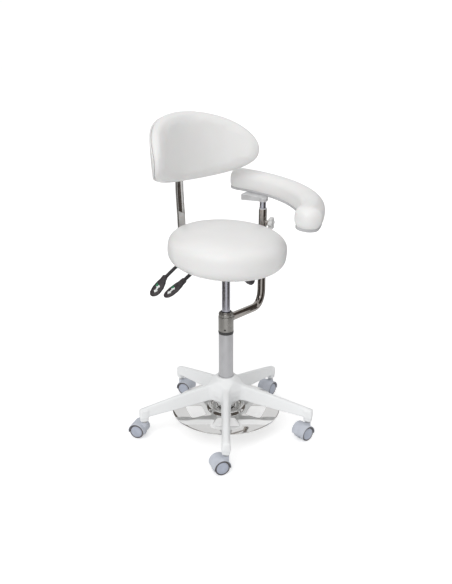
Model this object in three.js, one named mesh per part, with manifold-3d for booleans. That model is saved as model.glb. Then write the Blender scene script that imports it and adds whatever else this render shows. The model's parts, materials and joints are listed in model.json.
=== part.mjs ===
// Dentist stool: a round seat with forward tilt, a curved backrest on a chromed bar, a padded
// body-support arm on a chromed tube, a gas column worked by a foot disc, and a five-leg castor base.
// Millimetres, +Z up, the sitter faces -Y, the sitter's left is +X. Heights are drawn from a datum
// FLOOR_Z below the floor, and the finished stool is lowered by that much, so its origin is on the floor.
import * as THREE from 'three';
import { mergeVertices } from 'three/addons/utils/BufferGeometryUtils.js';
import Module from 'manifold-3d';

const wasm = await Module();
wasm.setup();

// ---------------------------------------------------------------- driving dimensions
const GAP = 0.3; // running clearance between touching pieces
const FLOOR_Z = 10;
const LEG_COUNT = 5;
const LEG_FIRST_ANGLE = 9; // degrees from +X
const STEM_RADIUS = 290; // column axis to castor stem
const SOCKET_BOTTOM_Z = 70;
const WHEEL_RADIUS = 25;
const TUBE_RADIUS = 25; // outer column tube
const TUBE_TOP_Z = 352;
const COLLAR_BOTTOM_Z = 362;
const COLLAR_TOP_Z = 430;
const CYLINDER_RADIUS = 14; // gas cylinder
const CYLINDER_TOP_Z = 578;
const SEAT_RADIUS = 191;
const SEAT_PLATE_Z = 584; // underside of the seat plate at its tilt axis
const SEAT_FORWARD_TILT = 4.5; // degrees, as the seat is set
const DISC_RADIUS = 187;
const DISC_Z = 75;
const BACK_ARC_RADIUS = 259; // mid-surface of the backrest
const BACK_ARC_CENTRE_Y = -73;
const BACK_BAR_Y = 216;
const ARM_ANGLE = 9; // degrees from +X
const ARM_POST_RADIUS = 214; // column axis to arm post
const ARM_PAD_BASE_Z = 779;

// ---------------------------------------------------------------- materials
function material(color, roughness, metalness) {
  return new THREE.MeshStandardMaterial({ color, roughness, metalness });
}

const vinyl = () => material(0xececea, 0.45, 0);
const whiteNylon = () => material(0xeef0f0, 0.4, 0);
const chrome = () => material(0xd8d8d8, 0.1, 1);
const satinSteel = () => material(0xb0b0b4, 0.4, 0.8);
const zincSteel = () => material(0x8e8e90, 0.5, 0.8);
const blackPlastic = () => material(0x2c2a2b, 0.5, 0);
const greyPlastic = () => material(0xbcbec2, 0.5, 0);
const castorGrey = () => material(0xaab2c0, 0.45, 0);
const plywood = () => material(0xc8a878, 0.8, 0);

// ---------------------------------------------------------------- solid helpers
const radians = THREE.MathUtils.degToRad;

/** Welds a geometry, drops collapsed triangles and turns its faces outward. */
function closed(geometry) {
  const bare = new THREE.BufferGeometry();
  bare.setAttribute('position', geometry.getAttribute('position').clone());
  if (geometry.index) bare.setIndex(geometry.index.clone());
  const welded = mergeVertices(bare, 1e-3);
  const at = welded.getAttribute('position');
  const corners = welded.index.array;
  const kept = [];
  let volume = 0;
  const [a, b, c] = [new THREE.Vector3(), new THREE.Vector3(), new THREE.Vector3()];
  for (let i = 0; i < corners.length; i += 3) {
    const [p, q, r] = [corners[i], corners[i + 1], corners[i + 2]];
    if (p === q || q === r || r === p) continue;
    kept.push(p, q, r);
    a.fromBufferAttribute(at, p);
    b.fromBufferAttribute(at, q);
    c.fromBufferAttribute(at, r);
    volume += a.dot(b.cross(c));
  }
  if (volume < 0) kept.reverse();
  welded.setIndex(kept);
  return welded;
}

function toManifold(geometry) {
  const solid = closed(geometry);
  return new wasm.Manifold(new wasm.Mesh({
    numProp: 3,
    vertProperties: new Float32Array(solid.getAttribute('position').array),
    triVerts: new Uint32Array(solid.index.array),
  }));
}

function fromManifold(manifold) {
  const { vertProperties, triVerts, numProp } = manifold.getMesh();
  const points = new Float32Array((vertProperties.length / numProp) * 3);
  for (let i = 0; i < points.length / 3; i += 1) {
    for (let k = 0; k < 3; k += 1) points[3 * i + k] = vertProperties[numProp * i + k];
  }
  const geometry = new THREE.BufferGeometry();
  geometry.setAttribute('position', new THREE.BufferAttribute(points, 3));
  geometry.setIndex(Array.from(triVerts));
  return geometry;
}

function join(...geometries) {
  return fromManifold(geometries.map(toManifold).reduce((sum, next) => sum.add(next)));
}

function cut(geometry, ...tools) {
  const whole = toManifold(geometry);
  return fromManifold(tools.map(toManifold).reduce((rest, tool) => rest.subtract(tool), whole));
}

/** A solid of revolution about Z from [radius, z] points that start and end on the axis or close. */
function turned(profile, segments = 24) {
  const points = profile.map(([radius, z]) => new THREE.Vector2(radius, z));
  return new THREE.LatheGeometry(points, segments).rotateX(Math.PI / 2);
}

function ring(inner, outer, low, high, segments = 24) {
  return turned([[inner, low], [outer, low], [outer, high], [inner, high], [inner, low]], segments);
}

function rod(radius, low, high, segments = 24) {
  return turned([[0, low], [radius, low], [radius, high], [0, high]], segments);
}

/** A rod from one point to another. */
function bar(from, to, radius, segments = 16) {
  const start = new THREE.Vector3(...from);
  const along = new THREE.Vector3(...to).sub(start);
  const turn = new THREE.Quaternion().setFromUnitVectors(
    new THREE.Vector3(0, 0, 1), along.clone().normalize());
  const shape = rod(radius, 0, along.length(), segments);
  return shape.applyQuaternion(turn).translate(start.x, start.y, start.z);
}

/** Radius of a faceted hole that clears a round piece of the given radius all round. */
function boreRadius(radius, segments) {
  return (radius + GAP) / Math.cos(Math.PI / segments);
}

/** Tool for an upright hole that a round piece fits into. */
function hole(radius, low, high, segments = 16) {
  return rod(boreRadius(radius, segments), low, high, segments);
}

/** Tool for a hole between two points that a round piece fits into. */
function tunnel(from, to, radius, segments = 16) {
  return bar(from, to, boreRadius(radius, segments), segments);
}

function box(low, high) {
  const size = high.map((value, i) => value - low[i]);
  const middle = high.map((value, i) => (value + low[i]) / 2);
  return new THREE.BoxGeometry(...size).translate(...middle);
}

/** A flat outline of [x, y] points extruded along Z from low to high. */
function slab(outline, low, high) {
  const shape = new THREE.Shape(outline.map(([x, y]) => new THREE.Vector2(x, y)));
  return new THREE.ExtrudeGeometry(shape, { depth: high - low, bevelEnabled: false }).translate(0, 0, low);
}

/** A closed skin over rings of points, each ring having the same number of points. */
function lofted(rings) {
  const size = rings[0].length;
  const points = rings.flat();
  const corners = [];
  for (let i = 0; i + 1 < rings.length; i += 1) {
    for (let j = 0; j < size; j += 1) {
      const next = (j + 1) % size;
      const [a, b] = [i * size + j, i * size + next];
      corners.push(a, b, a + size, b, b + size, a + size);
    }
  }
  for (const [first, flip] of [[0, true], [(rings.length - 1) * size, false]]) {
    const middle = new THREE.Vector3();
    for (let j = 0; j < size; j += 1) middle.addScaledVector(points[first + j], 1 / size);
    const centre = points.push(middle) - 1;
    for (let j = 0; j < size; j += 1) {
      const edge = [first + j, first + ((j + 1) % size)];
      if (flip) edge.reverse();
      corners.push(edge[0], edge[1], centre);
    }
  }
  const geometry = new THREE.BufferGeometry().setFromPoints(points);
  geometry.setIndex(corners);
  return geometry;
}

/** A constant section swept along a curve. */
function swept(curve, section, steps) {
  const shape = new THREE.Shape(section.map(([x, y]) => new THREE.Vector2(x, y)));
  return new THREE.ExtrudeGeometry(shape, { steps, extrudePath: curve, bevelEnabled: false });
}

function circle(radius, sides) {
  return Array.from({ length: sides }, (_, i) => {
    const angle = (2 * Math.PI * i) / sides;
    return [radius * Math.cos(angle), radius * Math.sin(angle)];
  });
}

function polar(radius, degrees) {
  return [radius * Math.cos(radians(degrees)), radius * Math.sin(radians(degrees))];
}

/** Signed power, the building block of a superellipse. */
function bulge(value, power) {
  return Math.sign(value) * Math.abs(value) ** power;
}

function add(parent, name, geometry, surface) {
  const mesh = new THREE.Mesh(closed(geometry), surface);
  mesh.name = name;
  parent.add(mesh);
  return mesh;
}

function group(parent, place = [0, 0, 0]) {
  const child = new THREE.Group();
  child.position.set(...place);
  parent.add(child);
  return child;
}

// ---------------------------------------------------------------- base and column
const BORE_FLOOR_Z = 104; // the column tube stands here, inside the hub
const HUB_BOTTOM_Z = 92;
const HUB_TOP_Z = 190;
const STEM_PIN_RADIUS = 5.5;
const STEM_TOP_Z = 100;

/** One leg along +X: a beam that tapers from the hub to a rounded end over the castor socket. */
function leg() {
  // radius from the column, top z, bottom z, half width at the top, half width at the bottom
  const stations = [
    [24, 176, 128, 17, 26],
    [62, 168, 116, 13, 19],
    [130, 154, 105, 11, 16.5],
    [210, 136, 95, 10.5, 15.5],
    [278, 119, 86, 10.5, 15],
    [296, 114, 84, 9, 13.5],
    [304, 108, 84, 6, 9],
  ];
  const chamfer = 3;
  const rings = stations.map(([x, top, bottom, halfTop, halfBottom]) => {
    const shoulder = halfTop + chamfer;
    return [
      [-halfBottom, bottom], [halfBottom, bottom], [shoulder, top - chamfer], [halfTop, top],
      [-halfTop, top], [-shoulder, top - chamfer],
    ].map(([y, z]) => new THREE.Vector3(x, y, z));
  });
  return lofted(rings);
}

function starBase() {
  const hub = turned([
    [0, HUB_BOTTOM_Z], [33, HUB_BOTTOM_Z], [35, 128], [56, 140], [58, 152], [50, 168], [38, 178],
    [32, 184], [31, HUB_TOP_Z], [0, HUB_TOP_Z],
  ], 32);
  const pieces = [hub];
  for (let i = 0; i < LEG_COUNT; i += 1) {
    const angle = radians(LEG_FIRST_ANGLE + (360 / LEG_COUNT) * i);
    const socket = rod(13, SOCKET_BOTTOM_Z, 100, 20).translate(STEM_RADIUS, 0, 0);
    pieces.push(leg().rotateZ(angle), socket.rotateZ(angle));
  }
  const tools = [
    rod(TUBE_RADIUS + GAP, BORE_FLOOR_Z, HUB_TOP_Z + 5, 32),
    rod(20, HUB_BOTTOM_Z - 5, BORE_FLOOR_Z + 1, 24),
  ];
  for (let i = 0; i < LEG_COUNT; i += 1) {
    const socket = hole(STEM_PIN_RADIUS, SOCKET_BOTTOM_Z - 5, STEM_TOP_Z + GAP, 12);
    socket.translate(STEM_RADIUS, 0, 0).rotateZ(radians(LEG_FIRST_ANGLE + (360 / LEG_COUNT) * i));
    tools.push(socket);
  }
  return cut(join(...pieces), ...tools);
}

const TUBE_FLOOR_TOP_Z = 117;
const ROD_BOTTOM_Z = 109;
const ROD_RADIUS = 5;
const PISTON_Z = 440;
const BUSH_FLANGE = 3;
const TUBE_WALL = 1.6;

function columnTube() {
  const inner = TUBE_RADIUS - TUBE_WALL;
  return turned([
    [6, BORE_FLOOR_Z + GAP], [TUBE_RADIUS, BORE_FLOOR_Z + GAP], [TUBE_RADIUS, TUBE_TOP_Z],
    [inner, TUBE_TOP_Z], [inner, TUBE_FLOOR_TOP_Z], [6, TUBE_FLOOR_TOP_Z], [6, BORE_FLOOR_Z + GAP],
  ], 32);
}

/** Guide bush pressed into the tube's mouth, with a flange on its rim. */
function columnBush() {
  const inner = CYLINDER_RADIUS + GAP;
  const outer = TUBE_RADIUS - TUBE_WALL - GAP;
  const flange = TUBE_TOP_Z + GAP;
  const low = 285;
  return turned([
    [inner, low], [outer, low], [outer, flange], [TUBE_RADIUS, flange],
    [TUBE_RADIUS, flange + BUSH_FLANGE], [inner, flange + BUSH_FLANGE], [inner, low],
  ], 28);
}

function gasCylinder() {
  const low = 250;
  return turned([
    [0, CYLINDER_TOP_Z], [CYLINDER_RADIUS, CYLINDER_TOP_Z], [CYLINDER_RADIUS, low],
    [ROD_RADIUS + GAP, low], [ROD_RADIUS + GAP, low + 12], [11.5, low + 12], [11.5, 566], [0, 566],
  ], 28);
}

function pistonRod() {
  return turned([
    [0, ROD_BOTTOM_Z], [ROD_RADIUS, ROD_BOTTOM_Z], [ROD_RADIUS, PISTON_Z], [11.2, PISTON_Z],
    [11.2, PISTON_Z + 12], [0, PISTON_Z + 12],
  ], 24);
}

// ---------------------------------------------------------------- foot disc and its release
const HUB_SLEEVE_RADIUS = 15;
const GIMBAL_INNER = 22;
const GIMBAL_OUTER = 31;
const DISC_HUB_INNER = 36;
const TRUNNION_RADIUS = 4;
const DISC_PIVOT_Z = DISC_Z;

/** Sleeve under the column that carries the gimbal on two trunnions along X. */
function pivotHub() {
  const sleeve = turned([
    [13, 58], [HUB_SLEEVE_RADIUS, 58], [HUB_SLEEVE_RADIUS, 84], [32, 86], [32, HUB_BOTTOM_Z - GAP],
    [19.6, HUB_BOTTOM_Z - GAP], [19.6, BORE_FLOOR_Z - GAP], [3.6, BORE_FLOOR_Z - GAP], [3.6, 92],
    [13, 92], [13, 58],
  ], 24);
  const trunnions = [-1, 1].map((side) =>
    bar([side * 14, 0, DISC_PIVOT_Z], [side * (GIMBAL_OUTER + 1), 0, DISC_PIVOT_Z], TRUNNION_RADIUS));
  return join(sleeve, ...trunnions);
}

function gimbalRing() {
  const body = ring(GIMBAL_INNER, GIMBAL_OUTER, DISC_PIVOT_Z - 6, DISC_PIVOT_Z + 6, 24);
  const trunnions = [-1, 1].map((side) =>
    bar([0, side * (GIMBAL_INNER + 2), DISC_PIVOT_Z], [0, side * 43, DISC_PIVOT_Z], TRUNNION_RADIUS));
  const holes = tunnel([-50, 0, DISC_PIVOT_Z], [50, 0, DISC_PIVOT_Z], TRUNNION_RADIUS);
  return cut(join(body, ...trunnions), holes);
}

/** Pressed steel disc: pivot ring, raised bead, flat web with five foot openings, rolled rim. */
function footDisc() {
  const top = DISC_Z;
  const sheet = 3;
  const bead = [];
  const beadSteps = 5;
  for (let i = 0; i <= beadSteps; i += 1) {
    const angle = Math.PI - (Math.PI * i) / beadSteps;
    bead.push([58 + 9 * Math.cos(angle), top + 9 * Math.sin(angle)]);
  }
  const plate = turned([
    [DISC_HUB_INNER, top - 7], [DISC_HUB_INNER, top + 7], [44, top + 7], [46, top], ...bead,
    [DISC_RADIUS - 2, top], [DISC_RADIUS, top - 2], [DISC_RADIUS, top - 5], [DISC_RADIUS - 2, top - 5],
    [DISC_RADIUS - 4, top - sheet], [50, top - sheet], [44, top - 7], [DISC_HUB_INNER, top - 7],
  ], 40);
  const openings = [];
  for (let i = 0; i < LEG_COUNT; i += 1) {
    const outline = [
      [80, -27], [86, -34], [128, -45], [135, -40], [137, 0], [135, 40], [128, 45], [86, 34], [80, 27],
    ];
    const tool = slab(outline, top - 20, top + 5);
    openings.push(tool.rotateZ(radians(LEG_FIRST_ANGLE + (360 / LEG_COUNT) * i)));
  }
  const holes = tunnel([0, -50, DISC_PIVOT_Z], [0, 50, DISC_PIVOT_Z], TRUNNION_RADIUS);
  return cut(plate, ...openings, holes);
}

function releasePin() {
  return turned([
    [0, 50], [10, 50], [11, 54], [11, 57.5], [3.2, 57.5], [3.2, 106], [0, 106],
  ], 20);
}

class Helix extends THREE.Curve {
  constructor(radius, low, high, turns) {
    super();
    Object.assign(this, { radius, low, high, turns });
  }

  getPoint(t, target = new THREE.Vector3()) {
    const angle = 2 * Math.PI * this.turns * t;
    const z = THREE.MathUtils.lerp(this.low, this.high, t);
    return target.set(this.radius * Math.cos(angle), this.radius * Math.sin(angle), z);
  }
}

function returnSpring() {
  return swept(new Helix(9.2, 60, 89.5, 4), circle(1.3, 5), 40);
}

// ---------------------------------------------------------------- castors
const CASTOR_TRAIL = 20;
const WHEEL_INNER_FACE = 4.5;
const WHEEL_OUTER_FACE = 25;
const AXLE_RADIUS = 3;
const HOOD_INNER = 26.5;
const HOOD_OUTER = 29;
const HOOD_BOSS_TOP = 53;

/** Twin-wheel castor hood: half shell over both wheels, web between them, axle and stem boss. */
function castorHood() {
  const steps = 9;
  const [first, last] = [-12, 192];
  const shell = [];
  for (const radius of [HOOD_OUTER, HOOD_INNER]) {
    for (let i = 0; i <= steps; i += 1) {
      const share = radius === HOOD_OUTER ? i / steps : 1 - i / steps;
      shell.push(polar(radius, first + (last - first) * share));
    }
  }
  const upright = (outline, half) => slab(outline, -half, half).rotateX(Math.PI / 2);
  const cover = upright(shell, WHEEL_OUTER_FACE + 2);
  const web = upright(circle(HOOD_INNER + 1, 18).filter(([, z]) => z > -16), WHEEL_INNER_FACE - 1);
  const axle = bar([0, -23, 0], [0, 23, 0], AXLE_RADIUS, 8);
  const boss = rod(10, 10, 28, 14).translate(-CASTOR_TRAIL, 0, 0);
  const room = upright(circle(HOOD_INNER, 18), 60);
  const trimmed = cut(boss, room);
  const stemHole = hole(STEM_PIN_RADIUS, 22, 50, 12).translate(-CASTOR_TRAIL, 0, 0);
  const body = cut(join(cover, web, axle, trimmed), stemHole);
  return body.translate(CASTOR_TRAIL, 0, WHEEL_RADIUS);
}

function castorStem() {
  const shoulder = SOCKET_BOTTOM_Z - FLOOR_Z - GAP;
  const top = STEM_TOP_Z - FLOOR_Z;
  return turned([
    [0, 47.5], [STEM_PIN_RADIUS, 47.5], [STEM_PIN_RADIUS, HOOD_BOSS_TOP + GAP], [8, HOOD_BOSS_TOP + GAP],
    [8, shoulder], [STEM_PIN_RADIUS, shoulder], [STEM_PIN_RADIUS, top - 2], [4, top], [0, top],
  ], 12);
}

/** Wheel on the +Y side of the castor, with a blind bore for the axle. */
function castorWheel() {
  const outer = WHEEL_OUTER_FACE;
  const inner = WHEEL_INNER_FACE;
  const bore = boreRadius(AXLE_RADIUS, 20);
  const wheel = turned([
    [0, outer + 1], [17, outer], [19, outer - 1], [22.5, outer - 1], [WHEEL_RADIUS, outer - 4],
    [WHEEL_RADIUS, inner + 2], [23, inner], [bore, inner], [bore, 23.4], [0, 23.4],
  ], 20);
  return wheel.rotateX(-Math.PI / 2).translate(CASTOR_TRAIL, 0, WHEEL_RADIUS);
}

// Direction in which each castor trails, in degrees from +X, one for each leg.
const CASTOR_HEADINGS = [188, 291, 117, 156, 174];

function addCastors(parent) {
  CASTOR_HEADINGS.forEach((heading, i) => {
    const [x, y] = polar(STEM_RADIUS, LEG_FIRST_ANGLE + (360 / LEG_COUNT) * i);
    const castor = group(parent, [x, y, FLOOR_Z]);
    castor.rotation.z = radians(heading);
    const name = `castor_${i + 1}`;
    add(castor, `${name}_hood`, castorHood(), castorGrey());
    add(castor, `${name}_stem`, castorStem(), zincSteel());
    add(castor, `${name}_wheel_l`, castorWheel(), castorGrey());
    add(castor, `${name}_wheel_r`, castorWheel().rotateX(Math.PI).translate(0, 0, 2 * WHEEL_RADIUS),
      castorGrey());
  });
}

// ---------------------------------------------------------------- seat mechanism
const HOUSING_HALF_WIDTH = 50;
const HOUSING_FRONT_Y = -50;
const HOUSING_BACK_Y = 88;
const HOUSING_LOW_Z = 557;
const HOUSING_HIGH_Z = 579;
const TILT_PIN = [-35, 568]; // y and z of the seat's tilt axis
const BACK_PIN = [70, 568]; // y and z of the backrest's tilt axis
const PIN_RADIUS = 5;
const LEVER_AXIS = [-42, 569]; // x and z of the levers' hinge axes
const LEVER_RADIUS = 5;

function crossPin([y, z], halfLength) {
  return bar([-halfLength, y, z], [halfLength, y, z], PIN_RADIUS, 16);
}

function crossHole([y, z]) {
  return tunnel([-120, y, z], [120, y, z], PIN_RADIUS);
}

function mechanismHousing() {
  const half = HOUSING_HALF_WIDTH;
  const corner = 10;
  const outline = [
    [-half + corner, HOUSING_FRONT_Y], [half - corner, HOUSING_FRONT_Y], [half, HOUSING_FRONT_Y + corner],
    [half, HOUSING_BACK_Y - corner], [half - corner, HOUSING_BACK_Y], [-half + corner, HOUSING_BACK_Y],
    [-half, HOUSING_BACK_Y - corner], [-half, HOUSING_FRONT_Y + corner],
  ];
  const body = slab(outline, HOUSING_LOW_Z, HOUSING_HIGH_Z);
  const cylinderBore = hole(CYLINDER_RADIUS, HOUSING_LOW_Z - 20, HOUSING_HIGH_Z + 5, 28);
  const leverSlots = LEVERS.map(({ y }) =>
    box([-half - 5, y - 9, HOUSING_LOW_Z + 5], [-half + 18, y + 9, HOUSING_HIGH_Z + 5]));
  const screwHole = tunnel([0, HOUSING_FRONT_Y - 5, TENSION_Z], [0, HOUSING_FRONT_Y + 7, TENSION_Z],
    SCREW_RADIUS, 12);
  return cut(body, cylinderBore, crossHole(TILT_PIN), crossHole(BACK_PIN), ...leverSlots,
    screwHole);
}

const PLATE_GAUGE = 4;

/** Steel seat plate with two cheeks that hang over the tilt pin. */
function seatPlate() {
  const [pinY, pinZ] = TILT_PIN;
  const low = SEAT_PLATE_Z;
  const plate = box([-80, -75, low], [80, 95, low + PLATE_GAUGE]);
  const cheeks = [-1, 1].map((side) => {
    const [inner, outer] = [HOUSING_HALF_WIDTH + 2, HOUSING_HALF_WIDTH + 6];
    const x = side > 0 ? [inner, outer] : [-outer, -inner];
    return box([x[0], pinY - 12, pinZ - 11], [x[1], pinY + 20, low + 2]);
  });
  return cut(join(plate, ...cheeks), crossHole(TILT_PIN));
}

const SEAT_CROWN = 66; // widest ring to the top of the cushion
const SEAT_BELLY = 54; // widest ring to the underside
const SEAT_FULLNESS = 0.65; // power of the edge's curve; smaller is squarer
const BOARD_RADIUS = 125;
const BOARD_THICKNESS = 9;

/** Height of the cushion's lower surface at a radius, measured from its widest ring. */
function bellyHeight(radius) {
  const cosine = (radius / SEAT_RADIUS) ** (1 / SEAT_FULLNESS);
  return -SEAT_BELLY * Math.sqrt(1 - cosine * cosine) ** SEAT_FULLNESS;
}

/** Round cushion with a superelliptic edge, recessed underneath for its board. */
function seatCushion() {
  const recess = BOARD_RADIUS + GAP;
  const ceiling = BOARD_THICKNESS - SEAT_BELLY;
  const profile = [[0, ceiling], [recess, ceiling], [recess, bellyHeight(recess)]];
  const steps = 14;
  for (let i = 1; i <= steps; i += 1) {
    const angle = Math.PI * (i / steps - 0.5);
    const radius = i === steps ? 0 : SEAT_RADIUS * Math.cos(angle) ** SEAT_FULLNESS;
    if (angle < 0 && radius < recess + 5) continue;
    const reach = angle < 0 ? SEAT_BELLY : SEAT_CROWN;
    profile.push([radius, reach * bulge(Math.sin(angle), SEAT_FULLNESS)]);
  }
  return turned(profile, 40);
}

// ---------------------------------------------------------------- levers and tension knob
const SCREW_RADIUS = 4;
const TENSION_Z = 563; // the tension screw runs forward from the housing's front
const KNOB_BACK_Y = -86;

// Each lever: its hinge's y, the bends of its rod, and the far end of its paddle.
const LEVERS = [
  {
    name: 'back_lever',
    y: 38,
    bends: [[-67, 40, 575], [-99, 128, 582]],
    neck: [-167, 116, 555],
    tip: [-244, 82, 522],
  },
  {
    name: 'seat_lever',
    y: 4,
    bends: [[-67, 8, 576], [-85, 60, 577]],
    neck: [-156, 39, 560],
    tip: [-236, 32, 529],
  },
];

/** A flat leaf-shaped paddle from its neck to its tip. */
function leverPaddle({ neck, tip }) {
  const start = new THREE.Vector3(...neck);
  const along = new THREE.Vector3(...tip).sub(start);
  const length = along.length();
  along.normalize();
  const across = new THREE.Vector3(0, 0, 1).cross(along).normalize();
  const normal = along.clone().cross(across);
  // share of the length, half width, half thickness
  const stations = [
    [-0.08, 8, 7], [0.12, 10.5, 7.5], [0.35, 16.5, 7], [0.6, 19, 6], [0.85, 15.5, 5], [1, 8, 3.5],
  ];
  const rings = stations.map(([share, half, thick]) => circle(1, 10).map(([u, v]) => {
    const point = start.clone().addScaledVector(along, share * length);
    point.addScaledVector(across, bulge(u, 0.8) * half);
    return point.addScaledVector(normal, bulge(v, 0.8) * thick);
  }));
  return lofted(rings);
}

/** The bent rod, from its cross pin in the housing to just inside the paddle's neck. */
function leverRod({ y, bends, neck, tip }) {
  const [hingeX, hingeZ] = LEVER_AXIS;
  const end = new THREE.Vector3(...neck).lerp(new THREE.Vector3(...tip), 0.3).toArray();
  const path = [[hingeX, y, hingeZ], ...bends, neck, end];
  const legs = path.slice(1).map((point, i) => bar(path[i], point, LEVER_RADIUS, 8));
  const knuckles = path.slice(1, -1).map((point) =>
    new THREE.SphereGeometry(LEVER_RADIUS, 8, 6).translate(...point));
  const knob = new THREE.CylinderGeometry(7, 7, 12, 12).translate(hingeX, y, hingeZ);
  return join(...legs, ...knuckles, knob);
}

/** The paddle with its socket for the rod. */
function boredPaddle(lever) {
  const { neck, tip } = lever;
  const from = new THREE.Vector3(...neck).lerp(new THREE.Vector3(...tip), -0.3).toArray();
  const to = new THREE.Vector3(...neck).lerp(new THREE.Vector3(...tip), 0.31).toArray();
  const along = tunnel(from, to, LEVER_RADIUS, 8);
  const ball = new THREE.SphereGeometry(boreRadius(LEVER_RADIUS, 8), 8, 6).translate(...neck);
  const last = lever.bends[lever.bends.length - 1];
  return cut(leverPaddle(lever), along, ball, tunnel(last, neck, LEVER_RADIUS, 8));
}

function tensionScrew() {
  return bar([0, HOUSING_FRONT_Y + 5, TENSION_Z], [0, KNOB_BACK_Y - 8, TENSION_Z], SCREW_RADIUS, 12);
}

function tensionKnob() {
  const knob = turned([[0, 0], [8, 0], [9, 5], [13, 14], [14, 28], [11, 33], [0, 34]], 20);
  const placed = knob.rotateX(Math.PI / 2).translate(0, KNOB_BACK_Y, TENSION_Z);
  const mouth = [0, KNOB_BACK_Y + 2, TENSION_Z];
  const end = [0, KNOB_BACK_Y - 8 - GAP, TENSION_Z];
  return cut(placed, tunnel(mouth, end, SCREW_RADIUS, 12));
}

// ---------------------------------------------------------------- backrest
const BACK_TIP_ANGLE = 58.6; // half of the arc that the backrest spans, in degrees
const BACK_TIP_Z = 930;
const BACK_TOP_RISE = 134;
const BACK_BOTTOM_DROP = 87;
const BACK_THICKNESS = 50;
const BACK_LEAN = 5; // degrees that the backrest leans away from the seat
const SHELL_THICKNESS = 8;
const BAR_WIDTH = 30;
const BAR_THICKNESS = 11;
const BAR_TOP_Z = 924;

/** Yoke that straddles the housing on the back pin and carries the bar. */
function backBracket() {
  const [pinY, pinZ] = BACK_PIN;
  const [inner, outer] = [HOUSING_HALF_WIDTH + 3, HOUSING_HALF_WIDTH + 9];
  const outline = [
    [inner, pinY - 12], [outer, pinY - 12], [outer, 110], [20, 132], [-20, 132], [-outer, 110],
    [-outer, pinY - 12], [-inner, pinY - 12], [-inner, 98], [-18, 104], [18, 104], [inner, 98],
  ];
  return cut(slab(outline, pinZ - 10, pinZ + 6), crossHole(BACK_PIN));
}

function backBarCurve() {
  const z = BACK_PIN[1] + 6 + GAP + BAR_THICKNESS / 2;
  return new THREE.CatmullRomCurve3([
    [0, 106, z], [0, 135, z], [0, 165, z + 1], [0, 190, z + 9], [0, BACK_BAR_Y - 7, z + 30],
    [0, BACK_BAR_Y - 3, 660], [0, BACK_BAR_Y, 720], [0, BACK_BAR_Y + 5, 800], [0, BACK_BAR_Y + 5, 860],
    [0, BACK_BAR_Y + 5, BAR_TOP_Z],
  ].map((point) => new THREE.Vector3(...point)), false, 'centripetal');
}

/** Points of the flat bar: rings across a curve in the YZ plane, so that its width stays along X. */
function backBar() {
  const curve = backBarCurve();
  const steps = 26;
  const [half, thick] = [BAR_WIDTH / 2, BAR_THICKNESS / 2];
  const edge = 2.5;
  const section = [
    [-half + edge, -thick], [half - edge, -thick], [half, -thick + edge], [half, thick - edge],
    [half - edge, thick], [-half + edge, thick], [-half, thick - edge], [-half, -thick + edge],
  ];
  const rings = [];
  for (let i = 0; i <= steps; i += 1) {
    const point = curve.getPointAt(i / steps);
    const along = curve.getTangentAt(i / steps);
    rings.push(section.map(([x, offset]) =>
      new THREE.Vector3(x, point.y - along.z * offset, point.z + along.y * offset)));
  }
  return lofted(rings);
}

/** Half-height and middle of the backrest's outline at a share of its half arc. */
function backOutline(share, inset) {
  const rest = 1 - share * share;
  const top = BACK_TIP_Z + BACK_TOP_RISE * rest ** 0.6 - inset;
  const bottom = BACK_TIP_Z - BACK_BOTTOM_DROP * rest ** 0.4 + inset;
  return { middle: (top + bottom) / 2, half: (top - bottom) / 2 };
}

/** A curved pad between two radii of the backrest's arc. */
function backSheet(innerDepth, outerDepth, inset, reach, power) {
  const stations = 16;
  const sides = 16;
  const rings = [];
  for (let i = 0; i <= stations; i += 1) {
    const share = reach * Math.sin(((i / stations) * 2 - 1) * (Math.PI / 2));
    const angle = radians(BACK_TIP_ANGLE) * share;
    const { middle, half } = backOutline(share, inset);
    const taper = 0.45 + 0.55 * (1 - share ** 4) ** 0.5;
    const [near, far] = [innerDepth * taper, outerDepth * taper];
    rings.push(circle(1, sides).map(([u, v]) => {
      const radius = BACK_ARC_RADIUS + (near + far) / 2 + (bulge(u, power) * (far - near)) / 2;
      const z = middle + bulge(v, power) * half;
      return new THREE.Vector3(radius * Math.sin(angle), BACK_ARC_CENTRE_Y + radius * Math.cos(angle), z);
    }));
  }
  return lofted(rings);
}

const SHELL_FACE = 12; // how far behind the mid-surface the shell's front lies

function backCushion() {
  return backSheet(-BACK_THICKNESS / 2, SHELL_FACE - 0.5, 0, 0.99, 0.7);
}

function backShell() {
  return backSheet(SHELL_FACE + 0.8, SHELL_FACE + SHELL_THICKNESS, 10, 0.95, 0.5);
}

/** Sleeve on the back of the shell that slides on the bar. */
function backCarriage() {
  const y = BACK_BAR_Y + 5;
  const half = BAR_WIDTH / 2 + GAP;
  const thick = BAR_THICKNESS / 2 + GAP + 0.2;
  const wall = 4;
  const front = BACK_ARC_CENTRE_Y + BACK_ARC_RADIUS + SHELL_FACE + SHELL_THICKNESS + 3;
  const sleeve = box([-half - wall, front, 848], [half + wall, y + thick + wall, 952]);
  const slot = box([-half, y - thick, 840], [half, y + thick, 946]);
  return cut(sleeve, slot);
}

// ---------------------------------------------------------------- support arm
const ARM_TUBE_RADIUS = 14;
const ARM_BORE_RADIUS = 12.6;
const ARM_POST_TUBE_RADIUS = 11.2;
const ARM_TUBE_Z = 401;
const SLEEVE_TOP_Z = 738;
const POST_TOP_Z = 763;
const KNOB_Z = 690;
const KNOB_HEADING = -65 - ARM_ANGLE; // degrees, seen in the arm's own frame
const BRACKET_HEIGHT = 15;
const BRACKET_HEADING = 110; // degrees from +X of the bracket's long side

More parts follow.
